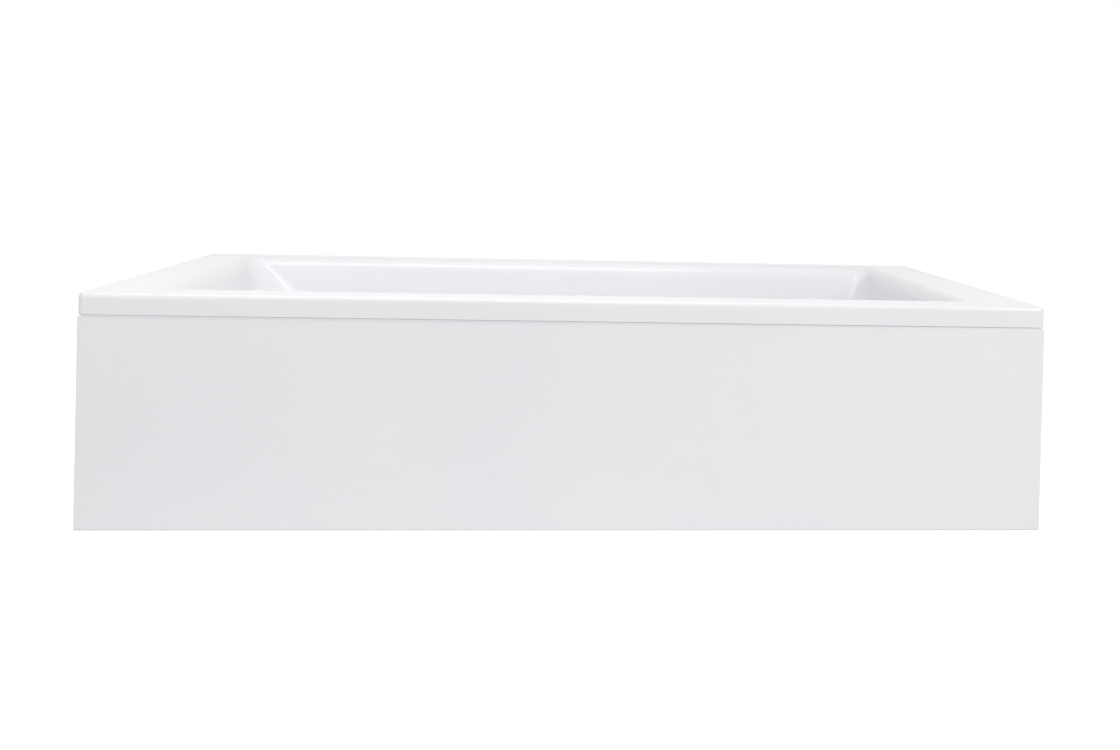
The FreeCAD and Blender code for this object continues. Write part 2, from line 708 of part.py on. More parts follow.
def batten(z):
    half = BATTEN_LENGTH / 2
    return box((-half, half), (BATTEN_Y, BATTEN_BACK), (z, z + BATTEN_WIDTH))


def top_batten():
    out = batten(LIP_Z - BATTEN_WIDTH)
    for place in batten_screw_places():
        out = out.cut(flat_bar(place, Z_AXIS, SCREW_R + SCREW_GAP, BATTEN_WIDTH))
    return out


def batten_screws():
    length = BATTEN_WIDTH + SCREW_LENGTH - SCREW_END_GAP
    return Part.makeCompound([screw(place, Z_AXIS, SCREW_R, length, SCREW_HEAD_R, SCREW_HEAD_T)
                              for place in batten_screw_places()])


# ---------------------------------------------------------------- wall brackets
def wall_brackets():
    brackets = []
    for x in evenly(BRACKET_COUNT, BRACKET_SPACING):
        xs = (x - BRACKET_WIDTH / 2, x + BRACKET_WIDTH / 2)
        shelf = box(xs, (HALF_W - BRACKET_LEG, HALF_W), (LIP_Z - BRACKET_T, LIP_Z))
        leg = box(xs, (HALF_W - BRACKET_T, HALF_W), (LIP_Z - BRACKET_DROP, LIP_Z))
        angle = shelf.fuse(leg).removeSplitter()
        inside = lambda e: (abs(e.BoundBox.YMin - HALF_W + BRACKET_T) < NEAR
                            and abs(e.BoundBox.ZMin - LIP_Z + BRACKET_T) < NEAR
                            and e.BoundBox.XLength > BRACKET_T)
        angle = rounded(angle, BRACKET_T, inside)
        for dx in evenly(2, BRACKET_HOLE_SPACING):
            start = V(x + dx, HALF_W - BRACKET_LEG, LIP_Z - BRACKET_HOLE_DROP)
            angle = angle.cut(cylinder(start, Y_AXIS, BRACKET_HOLE_R, 2 * BRACKET_LEG))
        brackets.append(angle)
    out = Part.makeCompound(brackets)
    for place in bracket_screw_places():
        out = out.cut(flat_bar(place, Z_AXIS, SCREW_R + WEB_HOLE_GAP, BRACKET_T))
    return out


def bracket_screws():
    length = BRACKET_T + SCREW_LENGTH - SCREW_END_GAP
    return Part.makeCompound([screw(place, Z_AXIS, SCREW_R, length, SCREW_HEAD_R, SCREW_HEAD_T)
                              for place in bracket_screw_places()])


# ---------------------------------------------------------------- waste
def drain_flange():
    """Flange in the floor, threaded body, and the cross that guides the plug's stem."""
    top = FLANGE_T
    body = turned([(THROAT_R, -FLANGE_BODY_DEPTH), (FLANGE_BODY_R, -FLANGE_BODY_DEPTH),
                   (FLANGE_BODY_R, 0), (FLANGE_R, 0), (FLANGE_R, top / 2),
                   (FLANGE_R - FLANGE_EDGE, top), (THROAT_R + FLANGE_SEAT, top), (THROAT_R, 0)])
    low = -SPIDER_DROP - SPIDER_T
    hub = cylinder(V(0, 0, low), Z_AXIS, SPIDER_HUB_R, SPIDER_T)
    arm = THROAT_R + (FLANGE_BODY_R - THROAT_R) / 2
    cross = [box((-arm, arm), (-SPIDER_ARM / 2, SPIDER_ARM / 2), (low, low + SPIDER_T)),
             box((-SPIDER_ARM / 2, SPIDER_ARM / 2), (-arm, arm), (low, low + SPIDER_T))]
    flange = joined([body, hub] + cross)
    flange = flange.cut(cylinder(V(0, 0, low), Z_AXIS, STEM_R + PIN_RUN, SPIDER_T))
    return placed(flange, V(DRAIN_X, 0, REBATE_Z), Z_AXIS)


def drain_gasket():
    return ring(V(DRAIN_X, 0, SHOE_TOP), Z_AXIS, GASKET_R, DRAIN_HOLE_R + GASKET_CLEAR,
                GASKET_T)


def socket_cut(mouth, axis):
    """Tube socket, cut inwards from a fitting's mouth; the axis points out of the mouth."""
    return cylinder(mouth - axis * SOCKET_DEPTH, axis, TUBE_R + SOCKET_FIT, SOCKET_DEPTH)


def waste_shoe():
    bore_r = FLANGE_BODY_R + SLIP_NUT_GAP
    outer_r = bore_r + SHOE_WALL
    low = WASTE_Z - SHOE_BORE_R
    base = V(DRAIN_X, 0, low - SHOE_FLOOR)
    body = cylinder(base, Z_AXIS, outer_r, SHOE_TOP - base.z)
    body = body.makeChamfer(SHOE_EDGE, [e for e in body.Edges if level_at(base.z)(e)])
    rim = cylinder(V(DRAIN_X, 0, SHOE_TOP - SHOE_RIM_T), Z_AXIS, GASKET_R, SHOE_RIM_T)
    mouth = V(DRAIN_X + SHOE_OUTLET, 0, WASTE_Z)
    outlet = cylinder(V(DRAIN_X, 0, WASTE_Z), X_AXIS, FITTING_R, SHOE_OUTLET)
    shoe = joined([body, rim, outlet])
    shoe = shoe.cut(cylinder(V(DRAIN_X, 0, low), Z_AXIS, SHOE_BORE_R, SHOE_TOP - low))
    seat = REBATE_Z - FLANGE_BODY_DEPTH - GLUE_GAP
    shoe = shoe.cut(cylinder(V(DRAIN_X, 0, seat), Z_AXIS, bore_r, SHOE_TOP - seat))
    shoe = shoe.cut(cylinder(V(DRAIN_X, 0, WASTE_Z), X_AXIS, TUBE_R - TUBE_WALL, SHOE_OUTLET))
    return shoe.cut(socket_cut(mouth, X_AXIS))


def shoe_tube():
    x0 = DRAIN_X + SHOE_OUTLET - SOCKET_DEPTH + GLUE_GAP
    x1 = UPRIGHT_X - TEE_BRANCH + SOCKET_DEPTH - GLUE_GAP
    tube = ring(V(x0, 0, WASTE_Z), X_AXIS, TUBE_R, TUBE_R - TUBE_WALL, x1 - x0)
    return tube.cut(cylinder(V(ROCKER_X, -TUBE_R, WASTE_Z), Y_AXIS, ROCKER_PIN_R + PIN_FIT,
                             2 * TUBE_R))


def waste_tee():
    low = V(UPRIGHT_X, 0, WASTE_Z - TEE_DOWN)
    high = V(UPRIGHT_X, 0, WASTE_Z + TEE_UP)
    mouth = V(UPRIGHT_X - TEE_BRANCH, 0, WASTE_Z)
    tee = joined([cylinder(low, Z_AXIS, FITTING_R, TEE_DOWN + TEE_UP),
                  cylinder(mouth, X_AXIS, FITTING_R, TEE_BRANCH)])
    tee = tee.cut(cylinder(low, Z_AXIS, TUBE_R - TUBE_WALL, TEE_DOWN + TEE_UP))
    tee = tee.cut(cylinder(mouth, X_AXIS, TUBE_R - TUBE_WALL, TEE_BRANCH))
    for place, axis in ((low, -Z_AXIS), (high, Z_AXIS), (mouth, -X_AXIS)):
        tee = tee.cut(socket_cut(place, axis))
    return tee


def tailpiece():
    """Tube in the tee, with a wider spigot at its free end for the drain socket."""
    low = V(UPRIGHT_X, 0, TAIL_FLOOR_GAP)
    length = WASTE_Z - TEE_DOWN + SOCKET_DEPTH - GLUE_GAP - TAIL_FLOOR_GAP
    outside = joined([cylinder(low, Z_AXIS, TUBE_R, length),
                      cylinder(low, Z_AXIS, TAIL_END_R, TAIL_END_LENGTH)])
    return outside.cut(cylinder(low, Z_AXIS, TUBE_R - TUBE_WALL, length))


def overflow_tube():
    z0 = WASTE_Z + TEE_UP - SOCKET_DEPTH + GLUE_GAP
    z1 = OVERFLOW_Z - ELBOW_DOWN + SOCKET_DEPTH - GLUE_GAP
    return ring(V(UPRIGHT_X, 0, z0), Z_AXIS, TUBE_R, TUBE_R - TUBE_WALL, z1 - z0)


def slip_nut(mouth, axis):
    """Nut round a fitting's mouth; its lip closes on the tube."""
    total = SLIP_NUT_OVERLAP + SLIP_NUT_LIP
    nut = many_sided(NUT_SIDES, SLIP_NUT_ACROSS, -SLIP_NUT_OVERLAP, total)
    skirt = cylinder(V(0, 0, -SLIP_NUT_OVERLAP), Z_AXIS, FITTING_R + SLIP_NUT_GAP,
                     SLIP_NUT_OVERLAP + SLIP_NUT_GAP)
    eye = cylinder(V(0, 0, 0), Z_AXIS, TUBE_R + SLIP_NUT_GAP, SLIP_NUT_LIP)
    return placed(nut.cut(skirt).cut(eye), mouth, axis)


def slip_nuts():
    places = [
        (V(DRAIN_X + SHOE_OUTLET, 0, WASTE_Z), X_AXIS),
        (V(UPRIGHT_X - TEE_BRANCH, 0, WASTE_Z), -X_AXIS),
        (V(UPRIGHT_X, 0, WASTE_Z + TEE_UP), Z_AXIS),
        (V(UPRIGHT_X, 0, WASTE_Z - TEE_DOWN), -Z_AXIS),
        (V(UPRIGHT_X, 0, OVERFLOW_Z - ELBOW_DOWN), -Z_AXIS),
    ]
    return Part.makeCompound([slip_nut(mouth, axis) for mouth, axis in places])


# ---------------------------------------------------------------- overflow
def overflow_elbow():
    start = V(ELBOW_X, 0, OVERFLOW_Z)
    back = TUBE_BEHIND + ELBOW_BACK
    barrel = cylinder(start, X_AXIS, ELBOW_R, back + ELBOW_BACK_T)
    far = [e for e in barrel.Edges if e.BoundBox.XMin > ELBOW_X + back]
    barrel = barrel.makeChamfer(ELBOW_EDGE_R, far)
    flange = cylinder(start, X_AXIS, ELBOW_FLANGE_R, ELBOW_FLANGE_T)
    mouth = V(UPRIGHT_X, 0, OVERFLOW_Z - ELBOW_DOWN)
    drop = cylinder(mouth, Z_AXIS, FITTING_R, ELBOW_DOWN)
    elbow = joined([barrel, flange, drop])
    elbow = elbow.cut(cylinder(start, X_AXIS, ELBOW_THROAT_R, back))
    elbow = elbow.cut(cylinder(mouth, Z_AXIS, TUBE_R - TUBE_WALL, ELBOW_DOWN))
    elbow = elbow.cut(socket_cut(mouth, -Z_AXIS))
    for y in (-PLATE_SCREW_Y, PLATE_SCREW_Y):
        elbow = elbow.fuse(cylinder(V(ELBOW_X, y, OVERFLOW_Z), X_AXIS, BOSS_R, BOSS_LENGTH))
        hole = cylinder(V(ELBOW_X, y, OVERFLOW_Z), X_AXIS, PLATE_SCREW_R + SCREW_GAP, BOSS_LENGTH)
        elbow = elbow.cut(hole)
    return elbow.removeSplitter()


def overflow_gasket():
    """Wedge between the leaning wall and the upright flange."""
    z0 = OVERFLOW_Z - GASKET_R
    z1 = OVERFLOW_Z + GASKET_R
    out = BACKING_OUT + 2 * GLUE_GAP
    wedge = plate_prism([(foot_wall_x(z0, out), z0), (ELBOW_X, z0), (ELBOW_X, z1),
                         (foot_wall_x(z1, out), z1)], -GASKET_R, GASKET_R)
    return wedge.common(overflow_bore(GASKET_R)).cut(overflow_bore(OVERFLOW_HOLE_R))


def plate_seat_x():
    return foot_wall_x(OVERFLOW_Z) - PLATE_GAP


def overflow_plate():
    """Shallow bevelled cover on the leaning wall, with the lever's two ears behind it."""
    cover = turned([(PLATE_R, 0), (PLATE_R, PLATE_RISE - PLATE_EDGE),
                    (PLATE_R - PLATE_EDGE, PLATE_RISE), (0, PLATE_RISE),
                    (0, PLATE_RISE - PLATE_T), (PLATE_R - PLATE_T, PLATE_RISE - PLATE_T),
                    (PLATE_R - PLATE_T, 0)])
    a = math.radians(FOOT_LEAN)
    seat = V(plate_seat_x(), 0, OVERFLOW_Z)
    cover = placed(cover, seat, V(-math.cos(a), 0, math.sin(a)))
    near = LEVER_T / 2 + EAR_GAP
    ears = []
    for ys in ((-near - EAR_T, -near), (near, near + EAR_T)):
        ears.append(box((seat.x - PLATE_RISE + PLATE_T / 2, LEVER_X + EAR_HEIGHT / 2), ys,
                        (OVERFLOW_Z - EAR_HEIGHT / 2, OVERFLOW_Z + EAR_HEIGHT / 2)))
    plate = joined([cover] + ears)
    front = seat.x - 2 * PLATE_RISE
    plate = plate.cut(box((front, seat.x), (-near, near),
                          (OVERFLOW_Z - SLOT_HALF_HEIGHT, OVERFLOW_Z + SLOT_HALF_HEIGHT)))
    low = OVERFLOW_Z - PLATE_R - INLET_DROP
    plate = plate.cut(box((front, seat.x + PLATE_R), (-INLET_HALF_WIDTH, INLET_HALF_WIDTH),
                          (low, low + INLET_HEIGHT)))
    for y in (-PLATE_SCREW_Y, PLATE_SCREW_Y):
        start = V(seat.x - PLATE_SEAT, y, OVERFLOW_Z)
        plate = plate.cut(cylinder(start, X_AXIS, PLATE_SCREW_R + WEB_HOLE_GAP / 2, PLATE_R))
        plate = plate.cut(cylinder(start, -X_AXIS, PLATE_SCREW_HEAD_R + GLUE_GAP, PLATE_R))
    pin_hole = cylinder(V(LEVER_X, -PLATE_R, OVERFLOW_Z), Y_AXIS, PIN_R + PIN_FIT, 2 * PLATE_R)
    return plate.cut(pin_hole)


def plate_screws():
    length = ELBOW_X + BOSS_LENGTH - SCREW_END_GAP - plate_seat_x() + PLATE_SEAT
    return Part.makeCompound([screw(V(plate_seat_x() - PLATE_SEAT, y, OVERFLOW_Z), X_AXIS,
                                    PLATE_SCREW_R, length, PLATE_SCREW_HEAD_R, PLATE_SCREW_HEAD_T)
                              for y in (-PLATE_SCREW_Y, PLATE_SCREW_Y)])


# ---------------------------------------------------------------- pop-up mechanism
def tilted(shape, pivot, angle):
    """Turn about the Y axis through a pivot; a positive angle lifts the +X end."""
    out = shape.copy()
    out.rotate(pivot, Y_AXIS, -math.degrees(angle))
    return out


def trip_lever():
    """Finger tab in the basin, crank and crank pin in the elbow."""
    pivot = V(LEVER_X, 0, OVERFLOW_Z)
    ys = (-LEVER_T / 2, LEVER_T / 2)
    zs = (OVERFLOW_Z - LEVER_HEIGHT / 2, OVERFLOW_Z + LEVER_HEIGHT / 2)
    start = V(LEVER_X, -LEVER_T / 2, OVERFLOW_Z)
    arm = box((LEVER_X - LEVER_REACH + TAB_LENGTH / 2, UPRIGHT_X), ys, zs)
    eye = cylinder(start, Y_AXIS, EAR_HEIGHT / 2, LEVER_T)
    crank_eye = cylinder(start + V(CRANK, 0, 0), Y_AXIS, LEVER_HEIGHT / 2 + CRANK_EYE_EDGE,
                         LEVER_T)
    tab_x = LEVER_X - LEVER_REACH
    tab = box((tab_x, tab_x + TAB_LENGTH), (-TAB_WIDTH / 2, TAB_WIDTH / 2),
              (OVERFLOW_Z - TAB_T / 2, OVERFLOW_Z + TAB_T / 2))
    tab = rounded(tab, TAB_CORNER_R, upright)
    reach = LEVER_T / 2 + FORK_GAP + FORK_T
    crank_pin = cylinder(V(UPRIGHT_X, -reach, OVERFLOW_Z), Y_AXIS, PIN_R, 2 * reach)
    lever = joined([arm, eye, crank_eye, tab, crank_pin])
    lever = lever.cut(cylinder(start, Y_AXIS, PIN_R + PIN_RUN, LEVER_T))
    return tilted(lever, pivot, HALF_TRAVEL)


def lever_pin():
    reach = LEVER_T / 2 + EAR_GAP + EAR_T
    return cylinder(V(LEVER_X, -reach, OVERFLOW_Z), Y_AXIS, PIN_R, 2 * reach)


def rod_eye_z():
    return OVERFLOW_Z + CRANK * math.sin(HALF_TRAVEL)


def rod_foot_z():
    lift = ROCKER_FAR * math.sin(ROCKER_TRAVEL / 2)
    return WASTE_Z + lift + ROCKER_TIP_R + LIFT_GAP


def linkage_rod():
    """Slotted fork on the crank pin, thin rod, and the weight that presses on the rocker."""
    eye = rod_eye_z()
    near = LEVER_T / 2 + FORK_GAP
    xs = (UPRIGHT_X - FORK_WIDTH / 2, UPRIGHT_X + FORK_WIDTH / 2)
    low = eye - FORK_DEPTH - FORK_BRIDGE
    pieces = [box(xs, ys, (low, eye + FORK_HEIGHT))
              for ys in ((-near - FORK_T, -near), (near, near + FORK_T))]
    pieces.append(box(xs, (-near - FORK_T, near + FORK_T), (low, low + FORK_BRIDGE)))
    foot = V(UPRIGHT_X, 0, rod_foot_z())
    pieces.append(cylinder(foot, Z_AXIS, ROD_R, low - foot.z + JOIN))
    weight = cylinder(foot, Z_AXIS, ROD_WEIGHT_R, ROD_WEIGHT_LENGTH)
    pieces.append(weight.makeChamfer(ROD_WEIGHT_EDGE, [e for e in weight.Edges
                                                       if level_at(foot.z)(e)]))
    rod = joined(pieces)
    slot_r = PIN_R + FORK_SLOT_GAP
    span = 2 * (near + FORK_T)
    for dx in (-FORK_SLOT_HALF, FORK_SLOT_HALF):
        rod = rod.cut(cylinder(V(UPRIGHT_X + dx, -span / 2, eye), Y_AXIS, slot_r, span))
    return rod.cut(box((UPRIGHT_X - FORK_SLOT_HALF, UPRIGHT_X + FORK_SLOT_HALF),
                       (-span / 2, span / 2), (eye - slot_r, eye + slot_r)))


def rocker_arm():
    """Two-ended rod on a cross pin: the far end is pushed down, the near end lifts the plug."""
    pivot = V(ROCKER_X, 0, WASTE_Z)
    near_tip = V(DRAIN_X, 0, WASTE_Z)
    far_tip = V(UPRIGHT_X, 0, WASTE_Z)
    arm = cylinder(near_tip, X_AXIS, ROCKER_R, UPRIGHT_X - DRAIN_X)
    eye = cylinder(pivot - V(0, ROCKER_EYE_WIDTH / 2, 0), Y_AXIS, ROCKER_EYE_R, ROCKER_EYE_WIDTH)
    half = V(0, ROCKER_TIP_R, 0)
    tips = [cylinder(tip - half, Y_AXIS, ROCKER_TIP_R, 2 * ROCKER_TIP_R)
            for tip in (near_tip, far_tip)]
    rocker = joined([arm, eye] + tips)
    hole = cylinder(pivot - V(0, ROCKER_EYE_WIDTH, 0), Y_AXIS, ROCKER_PIN_R + PIN_RUN,
                    2 * ROCKER_EYE_WIDTH)
    return tilted(rocker.cut(hole), pivot, ROCKER_TRAVEL / 2)


def rocker_pin():
    return cylinder(V(ROCKER_X, -TUBE_R, WASTE_Z), Y_AXIS, ROCKER_PIN_R, 2 * TUBE_R)


def plug_rim_z():
    return REBATE_Z + FLANGE_T + LIFT_GAP


def drain_plug():
    """Low cap with a flat crown, core that carries the seal, and the guided stem."""
    rim = plug_rim_z()
    top = PLUG_RIM_T + PLUG_RISE
    cap = turned([(0, 0), (PLUG_R, 0), (PLUG_R, PLUG_RIM_T), (PLUG_CROWN_R, top), (0, top)])
    cap = placed(cap, V(DRAIN_X, 0, rim), Z_AXIS)
    core = cylinder(V(DRAIN_X, 0, rim - PLUG_CORE_DEPTH), Z_AXIS, PLUG_CORE_R, PLUG_CORE_DEPTH)
    tip = WASTE_Z - ROCKER_FROM_DRAIN * math.sin(ROCKER_TRAVEL / 2) + ROCKER_TIP_R + LIFT_GAP
    stem = cylinder(V(DRAIN_X, 0, tip), Z_AXIS, STEM_R, rim - tip)
    return joined([cap, core, stem])


def plug_seal():
    mid = plug_rim_z() - PLUG_CORE_DEPTH / 2 - SEAL_T / 2
    return ring(V(DRAIN_X, 0, mid), Z_AXIS, THROAT_R - SEAL_GAP, PLUG_CORE_R + THREAD_GAP, SEAL_T)


# ---------------------------------------------------------------- all nodes
def all_nodes():
    nodes = {
        "tub_shell": tub_shell(),
        "backing_shell": backing_shell(),
        "base_board": base_board(),
        "front_rim_rail": front_rim_rail(),
        "back_rim_rail": back_rim_rail(),
        "head_rim_rail": short_rail(-1),
        "foot_rim_rail": short_rail(1),
        "head_bearer": bearer(HEAD_BEARER_X),
        "foot_bearer": bearer(FOOT_BEARER_X),
        "bearer_screws": bearer_screws(),
        "lock_nuts": lock_nuts(),
        "front_panel": front_panel(),
        "panel_ribs": panel_ribs(),
        "catch_studs": catch_studs(),
        "catch_sockets": catch_sockets(),
        "top_batten": top_batten(),
        "bottom_batten": batten(BOTTOM_BATTEN_Z),
        "batten_screws": batten_screws(),
        "wall_brackets": wall_brackets(),
        "bracket_screws": bracket_screws(),
        "drain_flange": drain_flange(),
        "drain_gasket": drain_gasket(),
        "waste_shoe": waste_shoe(),
        "shoe_tube": shoe_tube(),
        "waste_tee": waste_tee(),
        "tailpiece": tailpiece(),
        "overflow_tube": overflow_tube(),
        "slip_nuts": slip_nuts(),
        "overflow_elbow": overflow_elbow(),
        "overflow_gasket": overflow_gasket(),
        "overflow_plate": overflow_plate(),
        "plate_screws": plate_screws(),
        "trip_lever": trip_lever(),
        "lever_pin": lever_pin(),
        "linkage_rod": linkage_rod(),
        "rocker_arm": rocker_arm(),
        "rocker_pin": rocker_pin(),
        "drain_plug": drain_plug(),
        "plug_seal": plug_seal(),
    }
    for number, (x, y) in enumerate(FEET, start=1):
        nodes["foot_stud_%d" % number] = foot_stud(x, y)
        nodes["foot_pad_%d" % number] = foot_pad(x, y)
    return nodes


def main():
    os.makedirs("parts", exist_ok=True)
    for name, shape in all_nodes().items():
        shape.exportStep("parts/%s.step" % name)
        print(name, len(shape.Solids), "solids", shape.isValid(), round(shape.Volume / 1000, 1))


if __name__ == "__main__":
    main()
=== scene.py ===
# %% [markdown]
# # An alcove bathtub
# A bathtub of this kind is one sheet of white acrylic, drawn down over a mould, with glass
# fibre sprayed on its back, a board and timber rails glued in, and a thin panel clipped on in
# front. The CAD model already holds every piece in its real place. This script loads it, gives
# each piece the finish of its real material, and draws again the pieces whose curves the CAD
# model holds only coarsely.

# %% Load the frame
import bmesh
import bpy
import json
import math
from mathutils import Matrix, Vector


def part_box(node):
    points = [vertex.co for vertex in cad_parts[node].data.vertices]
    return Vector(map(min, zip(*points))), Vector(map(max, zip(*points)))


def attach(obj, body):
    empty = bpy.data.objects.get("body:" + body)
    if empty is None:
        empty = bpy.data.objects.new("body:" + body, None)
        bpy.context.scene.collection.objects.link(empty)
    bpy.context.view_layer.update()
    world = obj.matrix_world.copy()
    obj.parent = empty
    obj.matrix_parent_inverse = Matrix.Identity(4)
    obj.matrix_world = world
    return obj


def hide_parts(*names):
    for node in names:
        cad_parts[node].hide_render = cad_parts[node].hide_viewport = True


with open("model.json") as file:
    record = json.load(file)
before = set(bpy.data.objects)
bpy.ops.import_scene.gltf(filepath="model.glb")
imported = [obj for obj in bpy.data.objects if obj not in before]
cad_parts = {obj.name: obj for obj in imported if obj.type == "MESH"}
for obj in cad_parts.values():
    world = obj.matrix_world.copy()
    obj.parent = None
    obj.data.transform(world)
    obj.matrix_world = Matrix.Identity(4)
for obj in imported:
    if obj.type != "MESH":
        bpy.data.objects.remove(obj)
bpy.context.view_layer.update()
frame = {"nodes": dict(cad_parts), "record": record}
nodes = frame["nodes"]


# %% [markdown]
# ## Sizes
# The outside of the tub is read from the frame, so it can't disagree with the CAD model. What
# the box of a node doesn't tell, such as how far each wall leans, is written here once in
# metres or degrees, with the same names and values that the maker's drawing would give.

# %% Sizes of the rim and the deck
MM = 0.001
HALF_L, HALF_W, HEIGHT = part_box("tub_shell")[1]
LIP_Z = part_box("front_rim_rail")[0][2]
SHELL_T = 4.5 * MM
LIP_EDGE_R = 8 * MM
CORNER_R = 10 * MM
DECK_HEAD = 76 * MM
DECK_FOOT = 95 * MM
DECK_FRONT = 62 * MM
DECK_BACK = 62 * MM
print("half length:", round(HALF_L, 4), "half width:", round(HALF_W, 4), "lip at:", LIP_Z)

# %% Sizes of the basin
SHOULDER_R = 22 * MM
FLOOR_HEIGHT = 104 * MM
FLOOR_FALL = 8 * MM
HEAD_LEAN = math.tan(math.radians(26))
FOOT_LEAN = math.tan(math.radians(9))
SIDE_LEAN = math.tan(math.radians(6))
BLEND_HEIGHT = 60 * MM
HEAD_SWEEP = 140 * MM
FOOT_SWEEP = 60 * MM
SIDE_SWEEP = 60 * MM
RIM_CORNER_R = 14 * MM
HEAD_CORNER_R = 150 * MM
FOOT_CORNER_R = 105 * MM
DEPTH = HEIGHT - FLOOR_HEIGHT
FLOOR_X0 = -HALF_L + DECK_HEAD + SHOULDER_R + HEAD_LEAN * DEPTH + HEAD_SWEEP
FLOOR_X1 = HALF_L - DECK_FOOT - SHOULDER_R - FOOT_LEAN * DEPTH - FOOT_SWEEP
print("basin depth:", round(DEPTH, 4), "floor from x", round(FLOOR_X0, 3), "to",
      round(FLOOR_X1, 3))

# %% Sizes of the waste and the overflow
DRAIN_FROM_END = 294 * MM
DRAIN_X = HALF_L - DRAIN_FROM_END
DRAIN_HOLE_R = 26 * MM
REBATE_R = 34.6 * MM
REBATE = 2 * MM
OVERFLOW_DROP = 85 * MM
OVERFLOW_Z = HEIGHT - OVERFLOW_DROP
OVERFLOW_HOLE_R = 30 * MM
print("waste at x:", round(DRAIN_X, 4), "overflow at z:", round(OVERFLOW_Z, 4))

# %% The moulding's sizes, as inputs for the trees
MOULDING = {
    "half_length": HALF_L, "half_width": HALF_W, "height": HEIGHT, "lip_z": LIP_Z,
    "lip_edge_r": LIP_EDGE_R, "corner_r": CORNER_R, "deck_head": DECK_HEAD,
    "deck_foot": DECK_FOOT, "deck_front": DECK_FRONT, "deck_back": DECK_BACK,
    "shoulder_r": SHOULDER_R, "depth": DEPTH, "floor_fall": FLOOR_FALL,
    "head_lean": HEAD_LEAN, "foot_lean": FOOT_LEAN, "side_lean": SIDE_LEAN,
    "blend_height": BLEND_HEIGHT, "head_sweep": HEAD_SWEEP, "foot_sweep": FOOT_SWEEP,
    "side_sweep": SIDE_SWEEP, "rim_corner_r": RIM_CORNER_R, "head_corner_r": HEAD_CORNER_R,
    "foot_corner_r": FOOT_CORNER_R, "floor_x0": FLOOR_X0, "floor_x1": FLOOR_X1,
    "drain_x": DRAIN_X, "drain_hole_r": DRAIN_HOLE_R, "rebate": REBATE,
    "offset": 0.0, "rim_inset": LIP_EDGE_R, "rim_radius": CORNER_R - LIP_EDGE_R,
    "waste_r": REBATE_R,
}
print("named sizes:", len(MOULDING))

# %% [markdown]
# ## Arithmetic with nodes
# The basin follows a rule: at each depth its outline is four straight sides and four round
# corners, and the corners grow as the basin goes down. Geometry Nodes can hold such a rule,
# but a tree of a hundred Math nodes is hard to read. This small class writes them from
# ordinary sums, so that the rule further down reads as it would on paper.


# %% A value that builds Math nodes
class Field:
    def __init__(self, tree, value):
        self.tree = tree
        self.value = value

    def op(self, operation, *others):
        node = self.tree.nodes.new("ShaderNodeMath")
        node.operation = operation
        for socket, item in zip(node.inputs, (self,) + others):
            value = item.value if isinstance(item, Field) else item
            if isinstance(value, (int, float)):
                socket.default_value = value
            else:
                self.tree.links.new(value, socket)
        return Field(self.tree, node.outputs[0])

    def __add__(self, other):
        return self.op("ADD", other)

    def __sub__(self, other):
        return self.op("SUBTRACT", other)

    def __mul__(self, other):
        return self.op("MULTIPLY", other)

    def __truediv__(self, other):
        return self.op("DIVIDE", other)

    def __rsub__(self, other):
        return Field(self.tree, other).op("SUBTRACT", self)


def blend_of(a, b, share):
    return a + (b - a) * share


print("arithmetic nodes ready")

# %% [markdown]
# ## Trees with named sizes
# A Geometry Nodes tree that only holds numbers can't be changed later. Here every size is a
# named input of its tree, so the same tree can be given other values in the modifier's panel.
# A modifier finds an input by the socket's identifier, which stays the same if the name is
# changed, so the identifiers are kept when the sockets are made.


# %% A tree and its inputs
class Tree:
    def __init__(self, name, sizes):
        self.group = bpy.data.node_groups.new(name, "GeometryNodeTree")
        sockets = self.group.interface
        sockets.new_socket("Geometry", in_out="OUTPUT", socket_type="NodeSocketGeometry")
        self.sizes = sizes
        self.values = {}
        for size, value in sizes.items():
            kind = "NodeSocketInt" if isinstance(value, int) else "NodeSocketFloat"
            socket = sockets.new_socket(size, in_out="INPUT", socket_type=kind)
            self.values[socket.identifier] = value
        self.start = self.group.nodes.new("NodeGroupInput")

    def __getattr__(self, size):
        return Field(self.group, self.start.outputs[size])

    def node(self, kind, **links):
        """A node of a kind, with its inputs given as numbers, fields or sockets."""
        made = self.group.nodes.new(kind)
        for name, item in links.items():
            socket = made.inputs[name.replace("_", " ")]
            value = item.value if isinstance(item, Field) else item
            if isinstance(value, bpy.types.NodeSocket):
                self.group.links.new(value, socket)
            else:
                socket.default_value = value
        return made

    def use(self, part):
        """Another tree as one node, fed with this tree's sizes of the same names."""
        made = self.group.nodes.new("GeometryNodeGroup")
        made.node_tree = part.group
        for size in part.sizes:
            self.group.links.new(self.start.outputs[size], made.inputs[size])
        return made.outputs[0]


print("trees ready")


# %% Fields stored on points
def kept(tree, mesh, *fields):
    """Store fields on a mesh's points, so that later sums read them and don't redo them."""
    store = tree.node("GeometryNodeCaptureAttribute", Geometry=mesh)
    out = []
    for number, field in enumerate(fields):
        name = "kept_%d" % number
        store.capture_items.new("FLOAT", name)
        tree.group.links.new(field.value, store.inputs[name])
        out.append(Field(tree.group, store.outputs[name]))
    return [store.outputs["Geometry"]] + out


print("stored fields ready")

# %% [markdown]
# ## The rule of the outline
# Each zone of the moulding is a grid that is bent into place. Its columns run round the tub,
# some on each corner's arc and some on each straight side. Its rows run from the lip, over
# the deck, and down to the waste. Columns of every zone stand at the same angles, so
# neighbouring zones share their edges and can be merged.

# %% Columns round the tub and rows down it
ARC_STEPS = 14
SIDE_STEPS = 10
PART = ARC_STEPS + SIDE_STEPS
COLUMNS = 4 * PART + 1
QUARTER_TURN = math.pi / 2


